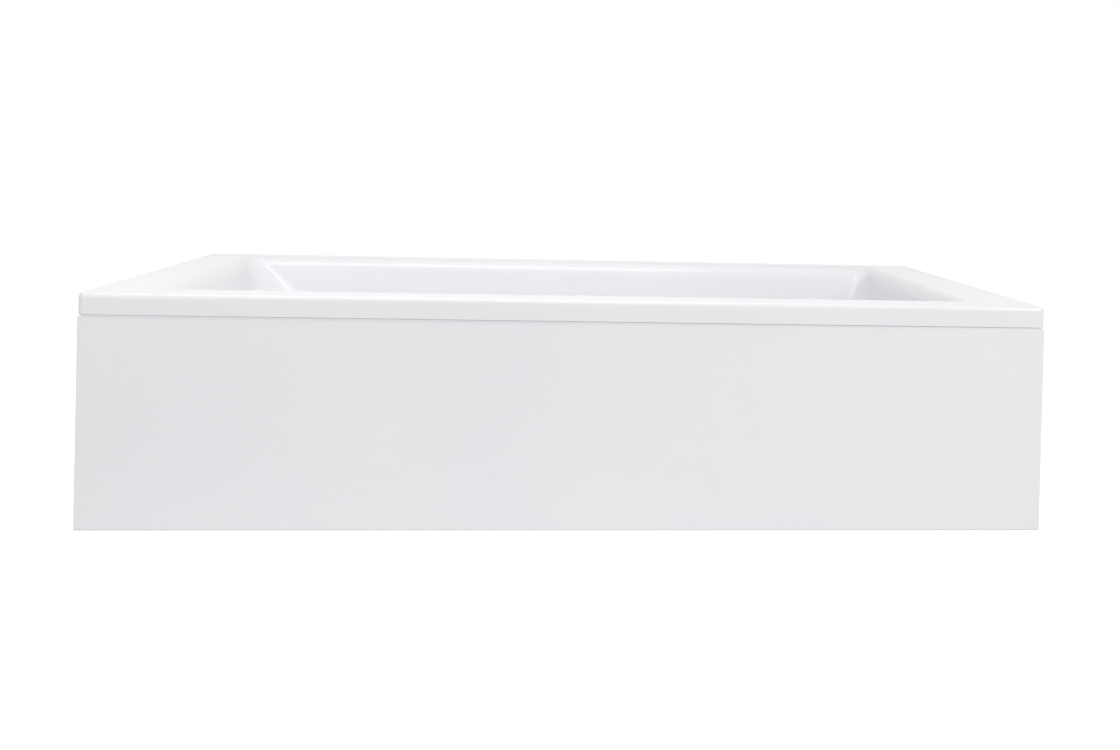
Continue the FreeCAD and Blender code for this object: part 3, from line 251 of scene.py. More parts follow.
def grid_fields(tree, rows):
    """A grid, with the column's corner, its share of the arc and side, and its row's share."""
    grid = tree.node("GeometryNodeMeshGrid", Vertices_X=COLUMNS, Vertices_Y=rows)
    index = Field(tree.group, tree.node("GeometryNodeInputIndex").outputs[0])
    column = ((index + 0.5) / rows).op("FLOOR")
    row = (index - column * rows) / (rows - 1)
    corner = ((column + 0.5) / PART).op("FLOOR")
    step = column - corner * PART
    arc = (step / ARC_STEPS).op("MINIMUM", 1.0)
    side = ((step - ARC_STEPS) / SIDE_STEPS).op("MAXIMUM", 0.0)
    return kept(tree, grid.outputs["Mesh"], corner, arc, side, row)


def corner_point(limits, corner, angle):
    """The point of one corner's arc; limits are x0, x1, y0, y1 and the head and foot radii."""
    x0, x1, y0, y1, head_r, foot_r = limits
    middle = (corner + 0.5) * QUARTER_TURN
    foot = middle.op("COSINE").op("GREATER_THAN", 0.0)
    back = middle.op("SINE").op("GREATER_THAN", 0.0)
    radius = blend_of(head_r, foot_r, foot)
    centre_x = blend_of(x0 + head_r, x1 - foot_r, foot)
    centre_y = blend_of(y0 + radius, y1 - radius, back)
    return centre_x + radius * angle.op("COSINE"), centre_y + radius * angle.op("SINE")


def outline_point(limits, corner, arc, side):
    """A point of the whole outline: on an arc, or on the straight side after it."""
    x, y = corner_point(limits, corner, (corner + arc) * QUARTER_TURN)
    next_x, next_y = corner_point(limits, corner + 1, (corner + 1) * QUARTER_TURN)
    return blend_of(x, next_x, side), blend_of(y, next_y, side)


print("columns round the tub:", COLUMNS - 1)

# %% [markdown]
# ## Stations of the basin
# Three bands turn the deck into the floor: a round shoulder, a leaning wall and a long blend.
# The blend is longer at the head end, where a bather's back slides down into it. One function
# gives the limits of the outline for any point of any band, moved outwards where the glass
# fibre layer behind the acrylic is wanted.


# %% Limits and height at a station
def basin_limits(t, run, drop, sweep, move):
    x0 = t.deck_head + run + drop * t.head_lean + sweep * t.head_sweep - move - t.half_length
    x1 = t.half_length - t.deck_foot - run - drop * t.foot_lean - sweep * t.foot_sweep + move
    y0 = t.deck_front + run + drop * t.side_lean + sweep * t.side_sweep - move - t.half_width
    y1 = t.half_width - t.deck_back - run - drop * t.side_lean - sweep * t.side_sweep + move
    left = 1.0 - drop / t.depth
    grown = 1.0 - left * left * left
    head_r = t.rim_corner_r + grown * (t.head_corner_r - t.rim_corner_r) + move
    foot_r = t.rim_corner_r + grown * (t.foot_corner_r - t.rim_corner_r) + move
    return x0, x1, y0, y1, head_r, foot_r


def basin_height(t, x, drop, lower):
    share = (drop / t.depth) * (drop / t.depth)
    fall = (x - t.floor_x0) * t.floor_fall / (t.floor_x1 - t.floor_x0)
    return t.height - drop - lower - share * fall


def rim_limits(t, inset, radius):
    """The outer edge of the rim, drawn in by an inset."""
    return (inset - t.half_length, t.half_length - inset, inset - t.half_width,
            t.half_width - inset, radius, radius)


print("stations ready")

# %% [markdown]
# ## Zones of the moulding
# Each zone bends one grid. The lip and its rounded edge follow the outer outline, the deck
# runs from the outer outline to the basin's, the three bands go down, and the floor closes in
# on the circle of the waste. The zones could also be modelled by hand, but as grids with the
# same columns they meet point on point, and the sheet comes out without seams.


# %% Put a zone's points in place
def placed_zone(tree, mesh, x, y, z):
    place = tree.node("ShaderNodeCombineXYZ", X=x, Y=y, Z=z)
    moved = tree.node("GeometryNodeSetPosition", Geometry=mesh, Position=place.outputs[0])
    return moved.outputs["Geometry"]


def basin_outline(t, mesh, run, drop, sweep, move, corner, arc, side):
    """x and y of the basin's outline, with the mesh that stores them."""
    mesh, *limits = kept(t, mesh, *basin_limits(t, run, drop, sweep, move))
    return kept(t, mesh, *outline_point(limits, corner, arc, side))


print("placing tools ready")


# %% The shoulder, the wall and the blend
def basin_zone(t, rows, band):
    mesh, corner, arc, side, row = grid_fields(t, rows)
    angle = row * QUARTER_TURN
    zero = row * 0.0
    if band == "shoulder":
        run = angle.op("SINE") * t.shoulder_r
        drop = (1.0 - angle.op("COSINE")) * t.shoulder_r
        sweep, out, down = zero, angle.op("SINE"), angle.op("COSINE")
    elif band == "wall":
        run = zero + t.shoulder_r
        drop = row * (t.depth - t.blend_height - t.shoulder_r) + t.shoulder_r
        sweep, out, down = zero, zero + 1.0, zero
    else:
        run = zero + t.shoulder_r
        drop = angle.op("SINE") * t.blend_height + (t.depth - t.blend_height)
        sweep, out, down = 1.0 - angle.op("COSINE"), angle.op("COSINE"), angle.op("SINE")
    mesh, x, y = basin_outline(t, mesh, run, drop, sweep, out * t.offset, corner, arc, side)
    return placed_zone(t, mesh, x, y, basin_height(t, x, drop, down * t.offset))


print("bands of the basin ready")


# %% The lip and the deck
def lip_zone(t, rows, edge):
    """The lip's upright face or, with edge, the rounding between it and the deck."""
    mesh, corner, arc, side, row = grid_fields(t, rows)
    if edge:
        angle = row * QUARTER_TURN
        inset = (1.0 - angle.op("COSINE")) * t.lip_edge_r
        z = angle.op("SINE") * t.lip_edge_r + t.height - t.lip_edge_r
    else:
        inset = row * 0.0
        z = row * (t.height - t.lip_edge_r - t.lip_z) + t.lip_z
    x, y = outline_point(rim_limits(t, inset, t.corner_r - inset), corner, arc, side)
    return placed_zone(t, mesh, x, y, z)


def deck_zone(t, rows):
    mesh, corner, arc, side, row = grid_fields(t, rows)
    zero = row * 0.0
    limits = rim_limits(t, zero + t.rim_inset, zero + t.rim_radius)
    mesh, outer_x, outer_y = kept(t, mesh, *outline_point(limits, corner, arc, side))
    mesh, inner_x, inner_y = basin_outline(t, mesh, zero, zero, zero, zero, corner, arc, side)
    x = blend_of(outer_x, inner_x, row)
    y = blend_of(outer_y, inner_y, row)
    return placed_zone(t, mesh, x, y, zero + t.height - t.offset)


print("lip and deck ready")


# %% The floor and the rebate round the waste
def waste_zone(t, rows, rings=None):
    """From the floor's outline to the waste or, with rings, between two circles round it."""
    mesh, corner, arc, side, row = grid_fields(t, rows)
    zero = row * 0.0
    mesh, x, y = basin_outline(t, mesh, zero + t.shoulder_r, zero + t.depth, zero + 1.0, zero,
                               corner, arc, side)
    angle = y.op("ARCTAN2", x - t.drain_x)
    start_r, end_r, start_low, end_low = rings(t) if rings else (None, t.waste_r, 0.0, 0.0)
    if rings:
        x = angle.op("COSINE") * start_r + t.drain_x
        y = angle.op("SINE") * start_r
    x = blend_of(x, angle.op("COSINE") * end_r + t.drain_x, row)
    y = blend_of(y, angle.op("SINE") * end_r, row)
    mesh, x, y = kept(t, mesh, x, y)
    lower = blend_of(zero + start_low, zero + end_low, row)
    return placed_zone(t, mesh, x, y, basin_height(t, x, zero + t.depth, lower + t.offset))


def zone(tree, title, make, *details):
    """A zone in a small tree of its own, used as one node of the main tree."""
    part = Tree(title, tree.sizes)
    out = part.group.nodes.new("NodeGroupOutput")
    part.group.links.new(make(part, *details), out.inputs[0])
    return part


print("zones ready")

# %% [markdown]
# ## Build the moulding
# The zones are joined and their shared edges merged, which leaves one open sheet whose face is
# the acrylic that a bather sees. Solidify then gives it the thickness of the real sheet, on
# the hidden side. The overflow hole is cut afterwards, because a drill also goes through the
# finished sheet.


# %% Turn a tree into a plain mesh
MERGE_DISTANCE = 0.02 * MM


def tree_output(tree, parts, material, merge=False):
    """Join a tree's parts, realise them, and give them their material."""
    join = tree.node("GeometryNodeJoinGeometry")
    for part in reversed(parts):
        tree.group.links.new(part, join.inputs[0])
    last = join.outputs[0]
    if merge:
        merged = tree.node("GeometryNodeMergeByDistance", Geometry=last,
                           Distance=MERGE_DISTANCE)
        last = merged.outputs[0]
    real = tree.node("GeometryNodeRealizeInstances", Geometry=last)
    painted = tree.node("GeometryNodeSetMaterial", Geometry=real.outputs[0], Material=material)
    out = tree.group.nodes.new("NodeGroupOutput")
    tree.group.links.new(painted.outputs[0], out.inputs[0])


def mesh_from_tree(name, tree):
    """The tree's result as a plain mesh; its inputs are set before it is first evaluated."""
    holder = bpy.data.objects.new(name, bpy.data.meshes.new(name))
    modifier = holder.modifiers.new("shape", "NODES")
    modifier.node_group = tree.group
    for identifier, value in tree.values.items():
        modifier[identifier] = value
    bpy.context.scene.collection.objects.link(holder)
    bpy.context.view_layer.update()
    evaluated = holder.evaluated_get(bpy.context.evaluated_depsgraph_get())
    mesh = bpy.data.meshes.new_from_object(evaluated)
    holder.modifiers.remove(modifier)
    holder.data = mesh
    return holder


print("tree tools ready")


# %% Apply, smooth and thicken
def applied(piece):
    """Turn a piece's live modifiers into plain mesh."""
    bpy.context.view_layer.update()
    evaluated = piece.evaluated_get(bpy.context.evaluated_depsgraph_get())
    mesh = bpy.data.meshes.new_from_object(evaluated)
    piece.modifiers.clear()
    piece.data = mesh
    return piece


def smooth(piece, degrees=35):
    for face in piece.data.polygons:
        face.use_smooth = True
    piece.data.set_sharp_from_angle(angle=math.radians(degrees))
    return piece


def thickened(piece, thickness):
    """Give an open sheet its thickness behind the visible side, which must face upwards."""
    highest = max(piece.data.polygons, key=lambda f: f.center.z * 10 + abs(f.normal.z))
    if highest.normal.z < 0:
        piece.data.flip_normals()
    solid = piece.modifiers.new("sheet", "SOLIDIFY")
    solid.thickness = thickness
    solid.offset = -1.0
    solid.use_even_offset = True
    return applied(piece)


print("mesh tools ready")

# %% [markdown]
# ## Finishes
# Every material is a short node tree on Object coordinates, so a pattern stays on its piece in
# any view and when a joint moves. What is the same all over a surface sits on the shader's own
# sockets, and only what varies, such as grain or flakes, comes in through nodes.

# %% The base of every finish
materials = {}


def finish(name, colour, rough, metal=0.0, coat=0.0, specular=0.5):
    material = bpy.data.materials.new(name)
    material.use_nodes = True
    tree = material.node_tree
    shader = tree.nodes["Principled BSDF"]
    shader.inputs["Base Color"].default_value = (*colour, 1.0)
    shader.inputs["Roughness"].default_value = rough
    shader.inputs["Metallic"].default_value = metal
    shader.inputs["Coat Weight"].default_value = coat
    shader.inputs["Specular IOR Level"].default_value = specular
    materials[name] = material
    return tree, shader


print("base of a finish ready")


# %% Patterns on a piece's own coordinates
def coordinates(tree, stretch=(1.0, 1.0, 1.0)):
    source = tree.nodes.new("ShaderNodeTexCoord")
    mapping = tree.nodes.new("ShaderNodeMapping")
    mapping.inputs["Scale"].default_value = stretch
    tree.links.new(source.outputs["Object"], mapping.inputs["Vector"])
    return mapping.outputs[0]


def noise(tree, place, scale, detail=3.0, rough=0.5):
    node = tree.nodes.new("ShaderNodeTexNoise")
    node.inputs["Scale"].default_value = scale
    node.inputs["Detail"].default_value = detail
    node.inputs["Roughness"].default_value = rough
    tree.links.new(place, node.inputs["Vector"])
    return node.outputs["Fac"]


def cells(tree, place, scale, output="Color", feature="F1"):
    node = tree.nodes.new("ShaderNodeTexVoronoi")
    node.feature = feature
    node.inputs["Scale"].default_value = scale
    tree.links.new(place, node.inputs["Vector"])
    return node.outputs[output]


print("patterns ready")


# %% From a pattern to colour, gloss and relief
def ramp(tree, value, *stops):
    node = tree.nodes.new("ShaderNodeValToRGB")
    elements = node.color_ramp.elements
    while len(elements) < len(stops):
        elements.new(0.5)
    for element, (at, colour) in zip(elements, stops):
        element.position = at
        element.color = (*colour, 1.0)
    tree.links.new(value, node.inputs[0])
    return node.outputs[0]


def spread(tree, value, low, high):
    node = tree.nodes.new("ShaderNodeMapRange")
    node.inputs["To Min"].default_value = low
    node.inputs["To Max"].default_value = high
    tree.links.new(value, node.inputs["Value"])
    return node.outputs[0]


def bump(tree, shader, height, strength, distance):
    node = tree.nodes.new("ShaderNodeBump")
    node.inputs["Strength"].default_value = strength
    node.inputs["Distance"].default_value = distance
    tree.links.new(height, node.inputs["Height"])
    tree.links.new(node.outputs[0], shader.inputs["Normal"])


print("colour, gloss and relief ready")

# %% [markdown]
# ## White acrylic
# Bath acrylic is glossy and almost even in colour. Up close it has a very faint ripple from
# the vacuum forming, and wiping leaves the gloss a little uneven. Both are kept weak, because
# a strong pattern on white reads as dirt.


# %% White acrylic
def acrylic():
    tree, shader = finish("white_acrylic", (0.80, 0.80, 0.82), 0.18, coat=0.05, specular=0.32)
    place = coordinates(tree)
    wide = noise(tree, place, 2.2, detail=2.0)
    colour = ramp(tree, wide, (0.35, (0.797, 0.798, 0.822)), (0.65, (0.812, 0.813, 0.832)))
    tree.links.new(colour, shader.inputs["Base Color"])
    wiped = noise(tree, place, 14.0, detail=4.0)
    tree.links.new(spread(tree, wiped, 0.15, 0.22), shader.inputs["Roughness"])
    ripple = noise(tree, place, 5.0, detail=0.0)
    bump(tree, shader, ripple, 0.02, 2 * MM)


acrylic()
print("white acrylic")

# %% [markdown]
# ## Glass fibre
# Short strands lie in every direction in the cured resin on the back of the sheet. A noise
# would look like cloud, and real strands would be thousands of curves, so the edges of two
# stretched cell patterns stand for them in colour and relief, one along the tub, one across.


# %% Glass fibre
def glass_fibre():
    tree, shader = finish("glass_fibre", (0.74, 0.73, 0.62), 0.5)
    strands = cells(tree, coordinates(tree, (1.0, 0.25, 1.0)), 150.0, "Distance",
                    "DISTANCE_TO_EDGE")
    crossed = cells(tree, coordinates(tree, (0.25, 1.0, 1.0)), 130.0, "Distance",
                    "DISTANCE_TO_EDGE")
    both = (Field(tree, strands) + Field(tree, crossed)).value
    colour = ramp(tree, both, (0.05, (0.80, 0.79, 0.70)), (0.45, (0.64, 0.63, 0.50)))
    tree.links.new(colour, shader.inputs["Base Color"])
    bump(tree, shader, both, 0.5, 1.2 * MM)


glass_fibre()
print("glass fibre")

# %% [markdown]
# ## Chipboard
# The board under the floor is pressed from wood flakes. Cells give each flake one even tone,
# which a noise can't, and three stops of a ramp keep the tones those of softwood.


# %% Chipboard
def chipboard():
    tree, shader = finish("chipboard", (0.55, 0.42, 0.27), 0.8)
    place = coordinates(tree)
    flakes = cells(tree, place, 260.0)
    colour = ramp(tree, flakes, (0.15, (0.38, 0.26, 0.14)), (0.5, (0.58, 0.44, 0.28)),
                  (0.85, (0.72, 0.58, 0.40)))
    tree.links.new(colour, shader.inputs["Base Color"])
    bump(tree, shader, noise(tree, place, 400.0), 0.35, 0.6 * MM)


chipboard()
print("chipboard")

# %% [markdown]
# ## Timber
# The rails and battens are planed softwood, with the grain along them. Stretching a noise
# along x draws the year rings out into grain, and a finer one pricks the pores. A wave texture
# gives rings too, but its even spacing reads as print.


# %% Timber
def timber():
    tree, shader = finish("timber", (0.62, 0.46, 0.28), 0.62)
    rings = noise(tree, coordinates(tree, (1.2, 26.0, 26.0)), 2.0, detail=6.0, rough=0.6)
    colour = ramp(tree, rings, (0.32, (0.44, 0.29, 0.15)), (0.5, (0.64, 0.47, 0.28)),
                  (0.68, (0.74, 0.58, 0.38)))
    tree.links.new(colour, shader.inputs["Base Color"])
    pores = noise(tree, coordinates(tree, (4.0, 90.0, 90.0)), 6.0, detail=2.0)
    bump(tree, shader, pores, 0.3, 0.5 * MM)


timber()
print("timber")

# %% [markdown]
# ## Metals
# Zinc freezes on the bearers and brackets in patches of its own brightness, which cells show.
# The screws and studs are plated and slightly yellow, the waste and the overflow cover are
# chrome, and the linkage is brass. All are full metals, and only their gloss and tint vary.


# %% Zinc
def galvanised():
    tree, shader = finish("galvanised", (0.60, 0.61, 0.62), 0.42, metal=1.0)
    place = coordinates(tree)
    spangle = cells(tree, place, 85.0)
    colour = ramp(tree, spangle, (0.2, (0.48, 0.49, 0.50)), (0.8, (0.70, 0.71, 0.72)))
    tree.links.new(colour, shader.inputs["Base Color"])
    tree.links.new(spread(tree, spangle, 0.32, 0.52), shader.inputs["Roughness"])


def zinc_screw():
    tree, shader = finish("zinc_screw", (0.68, 0.66, 0.60), 0.3, metal=1.0)
    place = coordinates(tree)
    tint = noise(tree, place, 120.0)
    colour = ramp(tree, tint, (0.3, (0.60, 0.59, 0.56)), (0.7, (0.74, 0.71, 0.62)))
    tree.links.new(colour, shader.inputs["Base Color"])
    tree.links.new(spread(tree, noise(tree, place, 300.0), 0.22, 0.42),
                   shader.inputs["Roughness"])


galvanised()
zinc_screw()
print("zinc finishes:", 2)


# %% Chrome and brass
def chrome():
    tree, shader = finish("chrome", (0.80, 0.81, 0.83), 0.06, metal=1.0)
    place = coordinates(tree)
    tree.links.new(spread(tree, noise(tree, place, 60.0, detail=5.0), 0.03, 0.11),
                   shader.inputs["Roughness"])
    bump(tree, shader, noise(tree, place, 500.0), 0.02, 0.3 * MM)


def brass():
    tree, shader = finish("brass", (0.66, 0.49, 0.22), 0.35, metal=1.0)
    place = coordinates(tree)
    tarnish = noise(tree, place, 70.0, detail=5.0)
    colour = ramp(tree, tarnish, (0.35, (0.48, 0.34, 0.15)), (0.65, (0.72, 0.55, 0.27)))
    tree.links.new(colour, shader.inputs["Base Color"])
    tree.links.new(spread(tree, tarnish, 0.45, 0.25), shader.inputs["Roughness"])


chrome()
brass()
print("finishes so far:", len(materials))

# %% [markdown]
# ## Plastics and rubber
# Pipe fittings, foot pads and seals all come from a mould, which leaves a fine grain and a
# faint cloud in the colour. They differ only in tone, gloss and depth of grain, so one
# function makes them all.


# %% Plastics and rubber
def moulded(name, dark, light, rough, grain, depth):
    """A moulded plastic: faint cloud in the colour, fine grain from the mould."""
    tree, shader = finish(name, light, rough)
    place = coordinates(tree)
    colour = ramp(tree, noise(tree, place, 18.0), (0.3, dark), (0.7, light))
    tree.links.new(colour, shader.inputs["Base Color"])
    fine = noise(tree, place, grain, detail=2.0)
    tree.links.new(spread(tree, fine, rough - 0.05, rough + 0.07), shader.inputs["Roughness"])
    bump(tree, shader, fine, depth, 0.4 * MM)


moulded("white_pvc", (0.74, 0.74, 0.72), (0.80, 0.80, 0.78), 0.38, 350.0, 0.10)
moulded("white_nylon", (0.70, 0.70, 0.67), (0.77, 0.77, 0.74), 0.48, 500.0, 0.15)
moulded("grey_rubber", (0.10, 0.10, 0.105), (0.15, 0.15, 0.155), 0.75, 700.0, 0.30)
moulded("black_nylon", (0.030, 0.030, 0.033), (0.055, 0.055, 0.060), 0.50, 600.0, 0.20)
print("finishes:", len(materials))

# %% [markdown]
# ## Finish the CAD pieces
# The record names a material slot for each CAD node. The finish with that slot's name goes
# on the node's object, so nothing is left with the flat colour it came with.

# %% Give each CAD node its finish
for part in frame["record"]["subparts"]:
    cad_object = nodes[part["node"]]
    cad_object.data.materials.clear()
    cad_object.data.materials.append(materials[part["material_slot"]])

# %% [markdown]
# ## The tub
# The tub is the piece that everything else hangs from, and the one that the eye goes to. It
# could be pushed into shape by hand with subdivision surfaces, but the rule above gives the
# same surface as the CAD model's, only smoother, so the reflections run evenly.

# %% The basin's sheet, shared by the acrylic and the layer behind it
REBATE_SLOPE = 0.2 * MM


def rebate_wall_rings(t):
    return t.waste_r, t.waste_r - REBATE_SLOPE, 0.0, t.rebate


def rebate_floor_rings(t):
    return t.waste_r - REBATE_SLOPE, t.drain_hole_r, t.rebate, t.rebate


tub_tree = Tree("tub_moulding", MOULDING)
basin_parts = [
    zone(tub_tree, "deck", deck_zone, 3),
    zone(tub_tree, "shoulder", basin_zone, 9, "shoulder"),
    zone(tub_tree, "wall", basin_zone, 12, "wall"),
    zone(tub_tree, "blend", basin_zone, 17, "blend"),
    zone(tub_tree, "basin_floor", waste_zone, 8),
]
rim_parts = [
    zone(tub_tree, "lip_face", lip_zone, 4, False),
    zone(tub_tree, "lip_edge", lip_zone, 7, True),
    zone(tub_tree, "rebate_wall", waste_zone, 2, rebate_wall_rings),
    zone(tub_tree, "rebate_floor", waste_zone, 3, rebate_floor_rings),
]
print("zones:", len(basin_parts) + len(rim_parts))

# %% The tub's sheet
tree_output(tub_tree, [tub_tree.use(part) for part in rim_parts + basin_parts],
            materials["white_acrylic"], True)
tub = mesh_from_tree("tub_moulding", tub_tree)
tub = thickened(tub, SHELL_T)
print("tub faces:", len(tub.data.polygons))

# %% [markdown]
# ## The overflow hole
# The installer drills this hole through the foot wall. Rings of points round it would have to
# be worked into the rule of the outline. A Boolean with a long cylinder does what the drill
# does, on the acrylic and on the layer behind it alike.

# %% Cut the overflow hole
DRILL_LENGTH = 60 * MM
DRILL_SIDES = 64


def cut_hole(piece, radius, length, matrix):
    cutter_mesh = bpy.data.meshes.new("cutter")
    shape = bmesh.new()
    bmesh.ops.create_cone(shape, cap_ends=True, segments=DRILL_SIDES, radius1=radius,
                          radius2=radius, depth=length, matrix=matrix)
    shape.to_mesh(cutter_mesh)
    shape.free()
    cutter = bpy.data.objects.new("cutter", cutter_mesh)
    bpy.context.scene.collection.objects.link(cutter)
    drill = piece.modifiers.new("drill", "BOOLEAN")
    drill.object = cutter
    drill.operation = "DIFFERENCE"
    drill.solver = "EXACT"
    applied(piece)
    bpy.data.objects.remove(cutter)
    return piece


foot_wall_x = HALF_L - DECK_FOOT - SHOULDER_R - FOOT_LEAN * (HEIGHT - OVERFLOW_Z)
hole_centre = Matrix.Translation((foot_wall_x, 0, OVERFLOW_Z))
along_x = hole_centre @ Matrix.Rotation(QUARTER_TURN, 4, "Y")
cut_hole(tub, OVERFLOW_HOLE_R, DRILL_LENGTH, along_x)
smooth(tub)
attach(tub, "tub")
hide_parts("tub_shell")
print("tub faces after the overflow hole:", len(tub.data.polygons))

# %% [markdown]
# ## The glass-fibre layer
# Chopped fibre and resin are sprayed on the back of the warm acrylic, so the layer follows the
# basin at an even depth behind it. The same tree makes it: only the offset, the edge of the
# deck and the hole round the waste have other values, and nothing is drawn twice.

# %% The layer behind the acrylic
BACKING_GAP = 4.8 * MM
BACKING_T = 3.5 * MM
BACKING_EDGE = 8.5 * MM
backing_sizes = dict(MOULDING, offset=BACKING_GAP, rim_inset=BACKING_EDGE, rim_radius=CORNER_R,
                     waste_r=DRAIN_HOLE_R)
backing_tree = Tree("backing_layer", backing_sizes)
tree_output(backing_tree, [backing_tree.use(part) for part in basin_parts],
            materials["glass_fibre"], True)
backing = thickened(mesh_from_tree("backing_layer", backing_tree), BACKING_T)
cut_hole(backing, OVERFLOW_HOLE_R, DRILL_LENGTH, along_x)
smooth(backing)
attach(backing, "tub")
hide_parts("backing_shell")
print("backing faces:", len(backing.data.polygons))

# %% [markdown]
# ## Bars that follow a path
# Round the waste hole the fibre is built up into a flat ring, so that the gasket has something
# level to press on. A ring and a straight strip are the same thing to Geometry Nodes: a rounded
# rectangle that is drawn along a path. So one function makes both, here and for the panel.


# %% A rounded bar along a path
ROUNDING_STEPS = 3
WELD_DISTANCE = 0.01 * MM


def bar_along(tree, path, material):
    """Draw a rounded rectangle of the tree's own sizes along a path."""
    outline = tree.node("GeometryNodeCurvePrimitiveQuadrilateral", Width=tree.bar_width,
                        Height=tree.bar_height)
    rounding = tree.node("GeometryNodeFilletCurve", Curve=outline.outputs[0],
                         Radius=tree.bar_edge_r)
    rounding.mode = "POLY"
    rounding.inputs["Count"].default_value = ROUNDING_STEPS
    bar = tree.node("GeometryNodeCurveToMesh", Curve=path, Profile_Curve=rounding.outputs[0],
                    Fill_Caps=True)
    tree_output(tree, [bar.outputs[0]], material)


def outwards(piece):
    """Recalculate the normals of a closed mesh, so that every face points out of it."""
    shape = bmesh.new()
    shape.from_mesh(piece.data)
    bmesh.ops.remove_doubles(shape, verts=shape.verts, dist=WELD_DISTANCE)
    bmesh.ops.recalc_face_normals(shape, faces=shape.faces)
    shape.to_mesh(piece.data)
    shape.free()
    return piece


def extent(piece):
    """The piece's own size along x, y and z in millimetres."""
    spots = [vertex.co for vertex in piece.data.vertices]
    return [round((max(s[i] for s in spots) - min(s[i] for s in spots)) / MM, 2)
            for i in range(3)]


print("bar tool ready")

# %% The pad round the waste
PAD_R = 44 * MM
PAD_LOW = 85.84 * MM
PAD_HIGH = 89.6 * MM
PAD_EDGE_R = 0.8 * MM
PAD_SIDES = 64
pad_tree = Tree("waste_pad", {
    "ring_r": (PAD_R + DRAIN_HOLE_R) / 2, "ring_x": DRAIN_X, "ring_z": (PAD_LOW + PAD_HIGH) / 2,
    "bar_width": PAD_R - DRAIN_HOLE_R, "bar_height": PAD_HIGH - PAD_LOW,
    "bar_edge_r": PAD_EDGE_R,
})
pad_circle = pad_tree.node("GeometryNodeCurvePrimitiveCircle", Resolution=PAD_SIDES,
                           Radius=pad_tree.ring_r)
pad_centre = pad_tree.node("ShaderNodeCombineXYZ", X=pad_tree.ring_x, Z=pad_tree.ring_z)
pad_path = pad_tree.node("GeometryNodeTransform", Geometry=pad_circle.outputs[0],
                         Translation=pad_centre.outputs[0])
bar_along(pad_tree, pad_path.outputs[0], materials["glass_fibre"])
waste_pad = smooth(outwards(mesh_from_tree("waste_pad", pad_tree)))
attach(waste_pad, "tub")
print("pad size:", extent(waste_pad))

# %% [markdown]
# ## The panel's top edge
# In the photograph the line between lip and panel is thin and a soft grey, where the CAD
# model's wider gap would show as a black slot. Moving the whole panel up would change the
# drawing, so a thin tongue, whose size is a guess, stands behind the face and nearly closes the
# gap. It is a long strip with round edges that moves with the panel.

# %% The tongue
panel_low, panel_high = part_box("front_panel")
TONGUE_SET_BACK = 1.0 * MM
TONGUE_T = 2.4 * MM
TONGUE_GAP = 0.5 * MM
TONGUE_ROOT = 2.5 * MM
TONGUE_END_GAP = 4.5 * MM
TONGUE_EDGE_R = 0.6 * MM
TONGUE_LOW = panel_high[2] - TONGUE_ROOT
TONGUE_HIGH = LIP_Z - TONGUE_GAP
tongue_tree = Tree("panel_tongue", {
    "reach": panel_high[0] - TONGUE_END_GAP,
    "middle_y": panel_low[1] + TONGUE_SET_BACK + TONGUE_T / 2,
    "middle_z": (TONGUE_LOW + TONGUE_HIGH) / 2,
    "bar_width": TONGUE_T, "bar_height": TONGUE_HIGH - TONGUE_LOW,
    "bar_edge_r": TONGUE_EDGE_R,
})
tongue_ends = [
    tongue_tree.node("ShaderNodeCombineXYZ", X=tongue_tree.reach * side, Y=tongue_tree.middle_y,
                     Z=tongue_tree.middle_z).outputs[0]
    for side in (-1.0, 1.0)]
tongue_path = tongue_tree.node("GeometryNodeCurvePrimitiveLine", Start=tongue_ends[0],
                               End=tongue_ends[1])
bar_along(tongue_tree, tongue_path.outputs[0], materials["white_acrylic"])
tongue = smooth(outwards(mesh_from_tree("panel_tongue", tongue_tree)))
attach(tongue, "panel")
print("tongue size:", extent(tongue), "top:", round(TONGUE_HIGH / MM, 2))

# %% [markdown]
# ## Threaded feet
# Each foot hangs on a threaded stud, which two nuts lock to the bearer. The CAD model keeps the
# stud a plain bar. A thread is a ridge that winds round a core, so a spiral curve with a small
# ridge swept along it makes one, and each stud's own box gives its place, length and radius.


# %% The threads
THREAD_PITCH = 1.75 * MM
THREAD_RIDGE = 0.75 * MM
CORE_SIDES = 24
STEPS_A_TURN = 18
RIDGE_SIDES = 4


